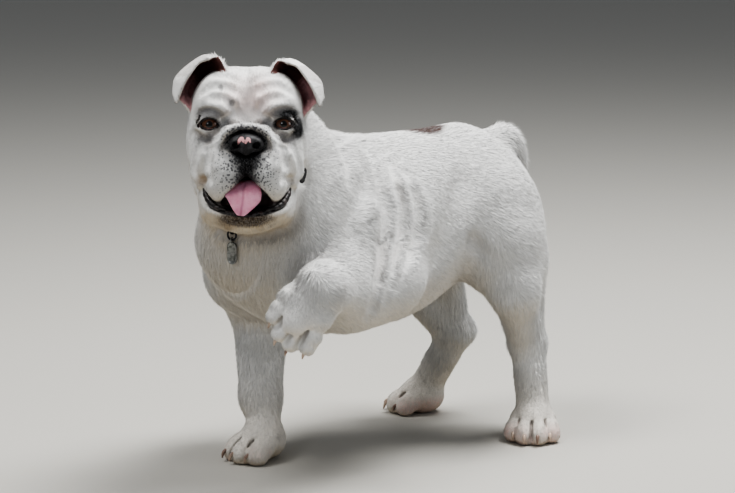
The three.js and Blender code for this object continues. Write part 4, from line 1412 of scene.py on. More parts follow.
@dataclass
class Skin:
    """One skin over the whole animal, in place of every node of flesh."""

    body: Body
    head: Head
    depth: float = 1.6
    face_depth: float = 0.8
    keep: float = 0.4
    probes: Point = (6, 20)
    paw: Patch = Patch((108, -178, 190), (40, 40, 44), 0.5)
    nodes: tuple[str, ...] = (
        "head", "muzzle", "jaw", "ear_left", "ear_right", "torso", "neck", "tail",
        "thigh_left", "shank_left", "paw_hind_left", "thigh_right", "shank_right", "paw_hind_right",
        "upper_arm_right", "forearm_right", "paw_fore_right",
        "upper_arm_left", "forearm_left", "paw_fore_left",
    )

    def flesh(self) -> Clay:
        """The whole flesh, cut flat at the floor and drawn in by the depth of the coat."""
        clay = Clay.block((-138, -264, -6), (152, 222, 444))
        self.body.shape(clay)
        self.head.shape(clay)
        x, y, z = clay.places(clay.whole())
        near = np.sqrt((x - 40) ** 2 + (y + 200) ** 2 + (z - 350) ** 2)
        depth = self.face_depth + (self.depth - self.face_depth) * rise(75, 120, near)
        clay.d += (depth * rise(2, 30, z)).astype(np.float32)
        clay.d = np.maximum(clay.d, (0.4 - z).astype(np.float32))
        return clay

    def neck(self) -> Clay:
        """The neck's flesh without the head, for what is worn on it."""
        clay = Clay.block((-110, -250, 220), (110, -70, 400))
        self.body.shape(clay)
        clay.d += self.depth
        return clay

    def build(self) -> Object:
        """Makes the skin, with its marks and its finish."""
        clay = self.flesh()
        points, quads = clay.surface()
        made = mesh_object("skin", points, quads)
        self.thin(made, points)
        points = read_points(made)
        normals = clay.slope(points)
        marks = Markings(self.head).at(points, normals)
        # Painted shade in folds and hollows, carried as the fold mark.
        marks["fold"] = self.painted_fold_shade(clay, points, normals)
        for name, numbers in marks.items():
            carry(made, name, numbers)
        made.data.materials.append(CoatFinish().material(hair=False))
        return made

    def painted_fold_shade(self, clay: Clay, points: Array, normals: Array) -> Array:
        """Painted shade in folds and hollows: how deep in a fold each point lies, the nearer the flesh across
        it, the deeper.

        Args:
            clay: The flesh.
            points: Points on the skin.
            normals: Outward directions there.

        Returns:
            Shares from 0 to 1.
        """
        near, wide = (reach - clay.value(points + normals * reach) for reach in self.probes)
        far = rise(60, 100, lengths(self.head.pose.into(points) - (0, -30, 0)))
        small = rise(0.3, 2.0, near) * (1 - far) + rise(1.0, 4.0, near) * far * 0.7
        large = rise(1.5, 9, wide) * far * 0.6 * (1 - self.paw.share(points))
        return np.maximum(small, large) * rise(2, 12, points[:, 2])

    def thin(self, made: Object, points: Array) -> None:
        """Takes small faces away from the body, and few from the face."""
        local = self.head.pose.into(points)
        away = rise(70, 110, lengths(local - (0, -20, 0)))
        group = made.vertex_groups.new(name="body")
        for level in (0.25, 0.5, 0.75, 1.0):
            chosen = np.nonzero((away > level - 0.25) & (away <= level))[0]
            group.add(chosen.tolist(), level, "REPLACE")
        change = made.modifiers.new("thin", "DECIMATE")
        change.ratio = self.keep
        change.vertex_group = group.name
        settle(made)
        made.vertex_groups.clear()


@dataclass
class Coat:
    """Short hair over the skin: thin closed tufts that lie along the body.

    Length is a tuft's, short is how much it loses on face and feet, and each ruff makes the
    tufts of its patch longer and lifts them.
    """

    head: Head
    skin: Object
    marks: tuple[str, ...] = (
        "dark", "speck", "grizzle_and_crease_shade", "blush", "chin", "stain_and_bounce", "saddle", "lip", "lid", "ear", "flush",
        "cream_and_bounce_shade", "toe", "fold")
    patch: float = 0.0015
    floor: float = 0.3
    tufts_of: dict[Part, int] = field(default_factory=lambda: {
        Part.FACE: 48000, Part.CROWN: 36000, Part.NECK: 38000, Part.CHEST: 36000, Part.LEFT_SIDE: 42000,
        Part.RIGHT_SIDE: 40000, Part.RUMP: 42000, Part.HIND_LEFT: 23000, Part.HIND_RIGHT: 23000,
        Part.FORE_LEFT: 22000, Part.FORE_RIGHT: 22000})
    corners: Array = field(init=False)
    normals: Array = field(init=False)
    points: Array = field(init=False)
    shares: dict[str, Array] = field(init=False)
    length: float = 8.5
    short: float = 5.3
    fore_paw: Patch = Patch((106, -190, 174), (32, 34, 34), 0.5)
    ruffs: tuple[tuple[Patch, float, float], ...] = (
        (Patch((10, -72, 360), (60, 62, 40), 0.8), 5, 0.16),
        (Patch((0, 190, 300), (40, 45, 45), 0.8), 5, 0.14),
        (Patch((0, 150, 200), (110, 60, 80), 0.9), 2.5, 0.06),
        (Patch((0, 10, 150), (90, 160, 40), 0.9), 3, 0.06),
    )

    def __post_init__(self) -> None:
        """Reads the skin's triangles, normals and marks."""
        mesh = self.skin.data
        mesh.calc_loop_triangles()
        corners = np.empty(len(mesh.loop_triangles) * 3, np.int32)
        mesh.loop_triangles.foreach_get("vertices", corners)
        normals = np.empty(len(mesh.vertices) * 3, np.float32)
        mesh.vertex_normals.foreach_get("vector", normals)
        self.corners = corners.reshape(-1, 3)
        self.normals = normals.reshape(-1, 3).astype(float)
        self.points = read_points(self.skin)
        self.shares = {}
        for name in self.marks:
            numbers = np.empty(len(mesh.vertices), np.float32)
            mesh.attributes[name].data.foreach_get("value", numbers)
            self.shares[name] = numbers

    def part(self, middle: Array) -> Array:
        """The piece of the coat that each point belongs to, as its place in the list of parts."""
        x, y, z = middle.T
        local = self.head.pose.into(middle)
        head = (lengths(local) < 108) & (local[:, 1] < 58) & (local[:, 2] > -100)
        rules = (
            (head & (local[:, 1] < -14) & (local[:, 2] < 52), Part.FACE),
            (head, Part.CROWN),
            ((z < 178) & (y > 60) & (x > 0), Part.HIND_LEFT),
            ((z < 178) & (y > 60), Part.HIND_RIGHT),
            ((y < -60) & (x > 84) & (z < 236), Part.FORE_LEFT),
            ((y < -40) & (x < -20) & (z < 168), Part.FORE_RIGHT),
            (y > 108, Part.RUMP),
            ((y < -60) & (z > 272), Part.NECK),
            (y < -112, Part.CHEST),
            (x > 0, Part.LEFT_SIDE),
        )
        number = {kind: i for i, kind in enumerate(Part)}
        numbers = [number[kind] for _, kind in rules]
        return np.select([rule for rule, _ in rules], numbers, number[Part.RIGHT_SIDE])

    def ear(self, side: int) -> Patch:
        """The hair of one ear."""
        return Patch((side * 56, -8, 62), (30, 34, 34), 0.4)

    def lie(self, points: Array, normals: Array) -> Array:
        """The way that the hair lies, along the skin.

        Args:
            points: Roots in the sculptor's frame.
            normals: Outward directions there.

        Returns:
            Directions at right angles to the normals.
        """
        x, y, z = points.T
        local = self.head.pose.into(points)
        down = np.array([0.0, 0.0, -1.0])
        way = np.stack([0 * x, 1 + 0 * x, -0.25 - 0.5 * np.abs(normals[:, 0])], axis=1)
        chest = rise(-0.3, -0.8, normals[:, 1]) * rise(280, 240, z)
        upright = np.abs(normals[:, 0]) + np.abs(normals[:, 1])
        leg = rise(190, 130, z) * rise(0.2, 0.6, upright)
        neck = rise(0, -110, y) * rise(230, 290, z)
        tail = Patch((0, 192, 295), (34, 34, 40), 0.7).share(points)
        aims = ((neck, (-0.15, 0.85, -0.5)), (np.maximum(chest, leg), down), (tail, (0, 0.45, -0.9)))
        for share, aim in aims:
            way = way * (1 - share[:, None]) + np.array(aim) * share[:, None]
        head = rise(120, 88, lengths(local)) * rise(70, 30, local[:, 1])
        face = unit(local - (0, -74, 2)) + np.array([0, 0.35, 0]) \
            + np.array([0, 0, -0.5]) * rise(-10, -40, local[:, 2])[:, None]
        way = way * (1 - head[:, None]) + self.head.pose.way(face) * head[:, None]
        for side in SIDES:
            ear = self.ear(side).share(local)[:, None]
            way = way * (1 - ear) + self.head.pose.way((side * 0.9, 0.1, -0.4)) * ear
        way = way + down * 0.02
        return unit(way - normals * np.einsum("ij,ij->i", way, normals)[:, None])

    def build(self) -> list[Object]:
        """Makes every piece of the coat."""
        a, b, c = (self.points[self.corners[:, i]] for i in range(3))
        area = lengths(np.cross(b - a, c - a)) / 2
        middle = (a + b + c) / 3
        part = self.part(middle)
        near = rise(110, 60, lengths(self.head.pose.into(middle) - (0, -50, -10)))
        low = rise(50, 15, middle[:, 2])
        weight = area * (1 + 0.8 * near + 0.6 * low)
        draw = np.random.default_rng(11)
        return [self.piece(kind, np.nonzero(part == i)[0], weight, draw) for i, kind in enumerate(Part)]

    def piece(self, kind: Part, chosen: Array, weight: Array, draw: np.random.Generator) -> Object:
        """Makes one piece of the coat.

        Args:
            kind: Which piece it is.
            chosen: The skin's triangles under it.
            weight: How many tufts each triangle gets, as a share.
            draw: The random numbers.

        Returns:
            The piece.
        """
        pick = chosen[draw.choice(len(chosen), self.tufts_of[kind], p=weight[chosen] / weight[chosen].sum())]
        u, v = draw.random((2, len(pick)))
        flip = u + v > 1
        u, v = np.where(flip, 1 - u, u), np.where(flip, 1 - v, v)
        share = np.stack([1 - u - v, u, v], axis=1)
        corner = self.corners[pick]
        roots = (self.points[corner] * share[..., None]).sum(1)
        normals = unit((self.normals[corner] * share[..., None]).sum(1))
        marks = {name: (numbers[corner] * share).sum(1) for name, numbers in self.shares.items()}
        keep = self.haired(roots, marks)
        roots, normals = roots[keep], normals[keep]
        marks = {name: numbers[keep] for name, numbers in marks.items()}
        marks["tone"] = draw.random(len(roots)) ** 2
        points, shading = self.tufts(roots, normals, marks, draw)
        points[..., 2] = np.maximum(points[..., 2], self.floor)
        base = np.arange(len(roots))[:, None, None] * 4
        faces = (base + np.array([(0, 2, 1), (0, 3, 2), (2, 3, 1), (1, 3, 0)])[None]).reshape(-1, 3)
        made = mesh_object(f"coat_{kind.value}", points.reshape(-1, 3), faces)
        for name, numbers in marks.items():
            carry(made, name, np.repeat(numbers, 4))
        self.unwrap(made, roots, normals, faces)
        soft = made.data.attributes.new("custom_normal", "FLOAT_VECTOR", "POINT")
        soft.data.foreach_set("vector", shading.astype(np.float32).ravel())
        made.data.materials.append(shared("coat_hair", lambda: CoatFinish().material(hair=True)))
        return made

    def haired(self, roots: Array, marks: dict[str, Array]) -> Array:
        """Where hair grows: not on lips, lids, nose, soles or in the mouth.

        Args:
            roots: Points on the skin.
            marks: The marks there.

        Returns:
            Which of the points have hair.
        """
        local = self.head.pose.into(roots)
        mouth = lengths((local - (0, -40, -56)) / (27, 36, 17)) < 1
        nose = lengths((local - (0, -60, -2)) / (19, 18, 11)) < 1
        marked = (marks["lip"] > 0.3) | (marks["lid"] > 0.2) | (marks["ear"] > 0.12)
        return ~(marked | mouth | nose | (roots[:, 2] < 1.2))

    def tufts(self, roots: Array, normals: Array, marks: dict[str, Array],
              draw: np.random.Generator) -> tuple[Array, Array]:
        """Four points for each tuft, and directions for its shading.

        Args:
            roots: Points on the skin.
            normals: Outward directions there.
            marks: The marks there.
            draw: The random numbers.

        Returns:
            Arrays of tufts by four points by three.
        """
        local = self.head.pose.into(roots)
        face = rise(112, 62, lengths(local - (0, -45, -8)))
        feet = rise(75, 30, roots[:, 2])
        length = self.length - self.short * np.maximum(face, feet)
        lift = 0.15 - 0.02 * face
        for side in SIDES:
            ear = self.ear(side).share(local)
            length = length - (length - 2.4) * ear
            lift = lift * (1 - 0.7 * ear)
        paw = self.fore_paw.share(roots)
        length = length - (length - 3) * paw
        lift = lift * (1 - 0.4 * paw)
        for patch, longer, higher in self.ruffs:
            share = patch.share(roots) * (1 - face)
            length = length + longer * share
            lift = lift + higher * share
        length = length * (1 - 0.4 * marks["ear"]) * draw.uniform(0.65, 1.2, len(roots))
        lift = lift * draw.uniform(0.4, 1.6, len(roots))
        width = (0.75 + 0.045 * length) * draw.uniform(0.7, 1.2, len(roots)) * (1 - 0.3 * face)
        way = self.lie(roots, normals)
        side = np.cross(normals, way)
        sway = draw.normal(0, 0.17, len(roots))
        way = unit(way + side * sway[:, None])
        side = np.cross(normals, way)
        length, lift, width = length[:, None], lift[:, None], width[:, None]
        left = roots - normals * 0.45 + side * width / 2
        right = roots - normals * 0.45 - side * width / 2
        ridge = roots + normals * (0.19 * length * lift - 0.06) + way * length * 0.18
        tip = roots + way * length * 0.97 + normals * length * lift
        tilt, lean = draw.normal(0, 0.2, (2, len(roots), 1))
        shade = unit(normals + side * tilt + way * lean)
        edges = [unit(shade + side * 0.25), unit(shade - side * 0.25), shade, unit(shade + way * 0.2)]
        return np.stack([right, left, ridge, tip], axis=1), np.stack(edges, axis=1)

    def unwrap(self, made: Object, roots: Array, normals: Array, faces: Array) -> None:
        """Gives each tuft a small patch at its root's place on the skin laid out flat.

        The skin under a piece is laid out on six fields, one for each way that it faces.

        Args:
            made: The piece.
            roots: The roots of its tufts.
            normals: Outward directions there.
            faces: Its triangles.
        """
        axis = np.abs(normals).argmax(1)
        sign = (np.take_along_axis(normals, axis[:, None], 1)[:, 0] > 0).astype(int)
        low, high = roots.min(0) - 1, roots.max(0) + 1
        flat = (roots - low) / (high - low)
        u = np.where(axis == 0, flat[:, 1], flat[:, 0])
        v = np.where(axis == 2, flat[:, 1], flat[:, 2])
        place = np.stack([(axis + 0.02 + 0.96 * u) / 3, (sign + 0.02 + 0.96 * v) / 2], axis=1)
        corner = np.array([(-1, -1), (1, -1), (0, -0.2), (0, 1)]) * self.patch
        spots = (place[:, None] + corner[None]).reshape(-1, 2)
        layer = made.data.uv_layers.new(name="OFBake")
        layer.data.foreach_set("uv", spots[faces.ravel()].astype(np.float32).ravel())


# Eyes, nose, tongue, lips and claws


@dataclass(frozen=True)
class Eyes:
    """Glossy dark eyes under the lids."""

    head: Head
    iris: float = 8.2
    pupil: float = 3.3
    cornea: float = 0.9
    brown: Point = (0.075, 0.030, 0.016)
    rim: Point = (0.008, 0.005, 0.005)
    white: Point = (0.07, 0.032, 0.028)
    haw: Point = (0.34, 0.15, 0.15)
    lid: Point = (0.016, 0.012, 0.012)

    def material(self) -> Material:
        """Wet eye: pupil, streaked iris, dark edge, and the pink of the lower lid."""
        paint = Paint("eyeball")
        ring = paint.mark("ring")
        streaks = paint.noise(900, 2, 0.7)
        base = paint.mix(((streaks - 0.35) * 1.6).kept(), self.brown, (0.22, 0.095, 0.05))
        base = paint.mix(ring.rise(self.iris - 1.6, self.iris - 0.4), base, self.rim)
        base = paint.mix(1 - ring.rise(self.pupil - 0.3, self.pupil + 0.3), base, (0.002, 0.002, 0.002))
        base = paint.mix(ring.rise(self.iris, self.iris + 1.2), base, self.white)
        base = paint.mix(paint.mark("low").rise(3.0, 4.4), base, self.haw)
        return paint.finish(base, 0.06, Coat_Weight=1.0, Coat_Roughness=0.02, IOR=1.38)

    def build(self, side: int, rings: int = 40, sides: int = 64) -> Object:
        """Makes one eye.

        Args:
            side: 1 for the animal's left eye and -1 for its right.
            rings: How many rings it has from front to back.
            sides: How many sides each ring has.

        Returns:
            The eye.
        """
        a = np.linspace(0, math.pi, rings + 1)[:, None]
        b = np.arange(sides)[None] / sides * 2 * math.pi
        r = self.head.globe + self.cornea * np.exp(-(a / 0.55) ** 2 * 1.6) - 0.25
        ring = r * np.sin(a)
        local = np.stack([ring * np.cos(b), -r * np.cos(a) + 0 * b, ring * np.sin(b)], axis=2)
        world = self.head.pose.out(local.reshape(-1, 3) + self.head.eye_on(side))
        made = mesh_object(f"eyeball_{SIDE_NAMES[side]}", world, net_faces(rings + 1, sides, closed=False))
        weld(made)
        local = self.head.pose.into(read_points(made)) - self.head.eye_on(side)
        carry(made, "ring", np.hypot(local[:, 0], local[:, 2]) + np.where(local[:, 1] > 0, 30, 0))
        carry(made, "low", -local[:, 2] - 0.02 * local[:, 0] ** 2)
        made.data.materials.append(shared("eyeball", self.material))
        return made

    def rims(self, side: int, count: int = 96, sides: int = 12) -> Object:
        """Makes the dark edge of the lids: a thin roll round the opening, on the eyeball.

        Args:
            side: 1 for the animal's left eye and -1 for its right.
            count: How many cross-sections it has.
            sides: How many sides each has.

        Returns:
            The edge.
        """
        wide, up, down = self.head.opening
        a = np.arange(count) / count * 2 * math.pi
        x = (wide + 0.5) * np.cos(a)
        arch = np.where(np.sin(a) > 0, up, -down)
        bend = (wide * wide + arch * arch) / (2 * np.abs(arch))
        height = np.sqrt(np.maximum(bend**2 - np.minimum(x * x, wide**2), 0))
        z = np.sign(arch) * (np.abs(arch) - bend + height)
        y = -np.sqrt((self.head.globe + 0.7) ** 2 - x * x - z * z)
        path = np.stack([x, y, z], axis=1)
        ahead = unit(np.roll(path, -1, axis=0) - np.roll(path, 1, axis=0))
        out = unit(path)
        across = np.cross(ahead, out)
        thick = 0.62 + 0.2 * np.cos(a) ** 2
        b = np.arange(sides) / sides * 2 * math.pi
        rings = path[:, None] + thick[:, None, None] * (
            across[:, None] * np.cos(b)[None, :, None] * 1.25 + out[:, None] * np.sin(b)[None, :, None] * 0.9)
        world = self.head.pose.out(rings.reshape(-1, 3) + self.head.eye_on(side))
        made = mesh_object(f"lid_edge_{SIDE_NAMES[side]}", world, net_faces(count, sides))
        made.data.materials.append(shared("lid_edge", self.edge))
        return made

    def edge(self) -> Material:
        """Dark moist skin."""
        paint = Paint("lid_edge")
        base = paint.mix(paint.noise(300, 3).rise(0.5, 0.75), self.lid, (0.10, 0.05, 0.045))
        paint.bump(paint.noise(500, 2), 0.0004, 0.6)
        return paint.finish(base, 0.4, Coat_Weight=0.2)


@dataclass(frozen=True)
class Nose:
    """Black pebbled nose with open nostrils and a small pink blotch."""

    head: Head
    cell: float = 0.55
    black: Point = (0.012, 0.012, 0.014)
    grey: Point = (0.055, 0.055, 0.062)
    pink: Point = (0.62, 0.33, 0.34)
    blotch: tuple[Patch, ...] = (
        Patch((-6.4, -70, 0.8), (1.5, 12, 4.0), 0.8, (0, 24, 0)),
        Patch((-3.2, -70, 1.6), (1.5, 12, 3.4), 0.8, (0, -24, 0)),
        Patch((0.6, -70, 0.6), (1.5, 12, 3.6), 0.8, (0, 22, 0)),
        Patch((3.2, -70, 1.2), (1.3, 12, 2.8), 0.8, (0, -20, 0)),
    )

    def material(self) -> Material:
        """Pebbled black skin."""
        paint = Paint("nose")
        pebbles = paint.cells(900)
        base = paint.mix(paint.noise(160, 3).rise(0.4, 0.7), self.black, self.grey)
        edge = (paint.mark("pink") + (paint.noise(420, 2) - 0.5) * 0.7).rise(0.42, 0.62)
        base = paint.mix(edge * paint.mark("pink").rise(0.02, 0.2), base, self.pink)
        paint.bump(pebbles.rise(0.0, 0.6) + paint.noise(300, 2), 0.0005, 0.9)
        return paint.finish(base, 0.46 + pebbles * 0.25, Coat_Weight=0.12, Coat_Roughness=0.35)

    def build(self) -> Object:
        """Makes the nose."""
        clay = Clay.block((-26, -82, -22), (26, -40, 18), self.cell)
        clay.add(Egg((0, -60, -1), (15.6, 11.8, 9.9)), 1)
        clay.add(Egg((10.4, -64, -3.5), (6.8, 7, 6.6)), 4, mirrored=True)
        clay.add(Egg((0, -66, -6), (6, 6, 8)), 4)
        clay.add(Egg((10, -71, -4), (3.9, 6.5, 3.1), (0, -15, 0)), 1.6, mirrored=True, cut=True)
        slit = cord(((11, -70, -5.5), (15, -66, -6.5), (18, -61, -4.5)), (1.5, 0.9))
        clay.add(slit, 1.2, mirrored=True, cut=True)
        clay.add(cord(((0, -73.5, 1), (0, -73, -6), (0, -70, -13)), (0.9, 1.1)), 1.6, cut=True)
        points, quads = clay.surface()
        made = mesh_object("nose_pad", self.head.pose.out(points), quads)
        carry(made, "pink", np.max([patch.share(points) for patch in self.blotch], axis=0))
        made.data.materials.append(self.material())
        return made


@dataclass(frozen=True)
class Tongue:
    """A pink tongue that lies over the lower lip."""

    head: Head
    path: Line = (
        (0, -22, -48), (0, -36, -42), (-1, -50, -43), (-2.8, -58, -50), (-3.4, -62.5, -57), (-5, -65.5, -66),
        (-6, -66.5, -72.5))
    widths: tuple[float, ...] = (13, 14, 15, 18, 17.5, 10, 3.6)
    thick: tuple[float, ...] = (4, 4, 3.8, 3.4, 3, 2.4, 1.4)
    pink: Point = (0.64, 0.25, 0.36)
    deep: Point = (0.42, 0.14, 0.22)

    def material(self) -> Material:
        """Moist pink with a darker middle line."""
        paint = Paint("tongue")
        middle = 1 - paint.mark("off").rise(0.0, 2.2)
        base = paint.mix(paint.noise(150, 4, 0.7).rise(0.3, 0.75), self.pink, (0.72, 0.36, 0.46))
        base = paint.mix((middle * 0.65).kept(), base, self.deep)
        base = paint.mix(paint.mark("back"), base, self.deep)
        paint.bump(paint.cells(1500) + paint.noise(500, 3) - middle * 1.5, 0.0004, 0.7)
        return paint.finish(base, 0.36, Coat_Weight=0.3, Coat_Roughness=0.25, Subsurface_Weight=0.1)

    def build(self, steps: int = 60, sides: int = 40) -> Object:
        """Makes the tongue."""
        path = curve(self.path, steps)
        t = np.linspace(0, len(self.widths) - 1, steps)
        wide, thick = spread_out(self.widths, steps), spread_out(self.thick, steps)
        ahead = unit(np.gradient(path, axis=0))
        across = np.array([1.0, 0.0, 0.0]) - ahead * ahead[:, :1]
        out = np.cross(across, ahead)
        a = np.arange(sides) / sides * 2 * math.pi
        u, v = np.cos(a)[None, :], np.sin(a)[None, :]
        groove = 1.4 * np.exp(-(u * wide[:, None] / 2.4) ** 2) * (v > 0)
        dip = groove + 2.2 * (u * u) * rise(0, 3, t)[:, None]
        points = path[:, None] + across[:, None] * (u * wide[:, None])[:, :, None] \
            + out[:, None] * (v * thick[:, None] - dip)[:, :, None]
        flat = np.vstack([points.reshape(-1, 3), path[:1], path[-1:]])
        faces = ring_faces(steps, sides)[:, ::-1]
        made = mesh_object("tongue_pad", self.head.pose.out(flat), faces)
        off = np.append((np.abs(u) * wide[:, None]).ravel(), (0, 0))
        back = np.append(np.repeat(rise(1.8, 0.4, t), sides), (1, 0))
        carry(made, "off", off)
        carry(made, "back", back)
        made.data.materials.append(self.material())
        return made


@dataclass(frozen=True)
class Lips:
    """The black edges of the lower lips beside the flews, and the scalloped edge in front."""

    head: Head
    path: Line = (
        (42, -20, -38), (41.5, -28, -45), (40, -36, -53), (35, -45, -60.5), (28, -52, -65),
        (20.5, -56, -66.5))
    radii: tuple[float, ...] = (0.8, 2.2, 2.9, 3.2, 2.6, 0.8)
    front: Line = (
        (-26, -52, -66), (-15, -58, -70), (0, -61, -72), (15, -58, -70), (26, -52, -66))

    def material(self) -> Material:
        """Moist black skin."""
        paint = Paint("lip")
        base = paint.mix(paint.noise(220, 3).rise(0.45, 0.75), (0.014, 0.012, 0.013), (0.07, 0.05, 0.048))
        paint.bump(paint.noise(350, 3) + paint.noise(120, 2), 0.0012, 0.9)
        return paint.finish(base, 0.38, Coat_Weight=0.25, Coat_Roughness=0.25)

    def edge(self, name: str, line: Array, radii: Array) -> Object:
        """Makes one edge along a line of the head's frame."""
        points, faces = tube(line, radii, 18, np.array([0.0, 0.0, 1.0]))
        made = mesh_object(name, self.head.pose.out(points), faces)
        made.data.materials.append(shared("lip", self.material))
        return made

    def build(self, side: int, steps: int = 60) -> Object:
        """Makes the edge on one side."""
        t = np.linspace(0, len(self.radii) - 1, steps)
        uneven = 1 + 0.1 * np.sin(t * 11) + 0.07 * np.sin(t * 23)
        line = curve(np.array(self.path) * (side, 1, 1), steps)
        return self.edge(f"lip_{SIDE_NAMES[side]}", line, spread_out(self.radii, steps) * uneven)

    def scallops(self, steps: int = 110) -> Object:
        """Makes the edge in front, under the tongue."""
        t = np.linspace(0, 1, steps)
        radii = (0.6 + 1.9 * np.sin(t * math.pi) ** 0.5) * (1 + 0.22 * np.sin(t * 44) + 0.12 * np.sin(t * 97))
        line = curve(self.front, steps) + np.array([0, 0, 0.6]) * np.sin(t * 31)[:, None]
        return self.edge("lip_front", line, radii)


@dataclass(frozen=True)
class Claws:
    """Blunt horn claws at the tips of the toes."""

    body: Body
    radii: tuple[float, ...] = (2.9, 2.7, 2.3, 1.7, 0.8)
    horn: Point = (0.60, 0.48, 0.40)
    dark: Point = (0.20, 0.13, 0.11)

    def material(self) -> Material:
        """Horn, darker towards some of the tips."""
        paint = Paint("horn")
        base = paint.mix(paint.noise(60, 2).rise(0.45, 0.6), self.horn, self.dark)
        base = paint.mix((paint.mark("along") * 0.5).kept(), base, (0.35, 0.25, 0.18))
        paint.bump(paint.noise(300, 3, 0.6, (1, 1, 4)), 0.0003, 0.6)
        return paint.finish(base, 0.38, Coat_Weight=0.2)

    def paths(self) -> dict[str, list[Point]]:
        """Three points of each claw, by its node."""
        found = {}
        for name, paw in (("hind_left", self.body.hind_left.paw), ("hind_right", self.body.hind_right.paw),
                          ("fore_right", self.body.right_paw)):
            for i, (across, forward, r) in enumerate(paw.toes()):
                found[f"claw_{name}_{i + 1}"] = [
                    paw.on(across, forward + r * 0.3, paw.rise + 2),
                    paw.on(across, forward + r + 1, paw.rise),
                    paw.on(across, forward + r + 3.4, 4.2)]
        for i, tip in enumerate(self.body.raised.toes):
            ahead = unit(np.subtract(tip, self.body.raised.roots[i]))
            found[f"claw_fore_left_{i + 1}"] = [
                tuple(np.array(tip) + ahead * along - (0, 0, drop))
                for along, drop in ((3, -1), (8.5, 0), (12, 2.5))]
        return found

    def build(self, name: str, steps: int = 14) -> Object:
        """Makes one claw.

        Args:
            name: The node that it stands for.
            steps: How many rings it has.

        Returns:
            The claw.
        """
        path = curve(self.paths()[name], steps)
        points, faces = tube(path, spread_out(self.radii, steps), 12, np.array([0.3, 0.2, 0.02]), 0.8)
        made = mesh_object(name.replace("claw", "horn"), points, faces)
        carry(made, "along", np.append(np.repeat(np.linspace(0, 1, steps), 12), (0, 1)))
        made.data.materials.append(shared("horn", self.material))
        return made


# Worn things


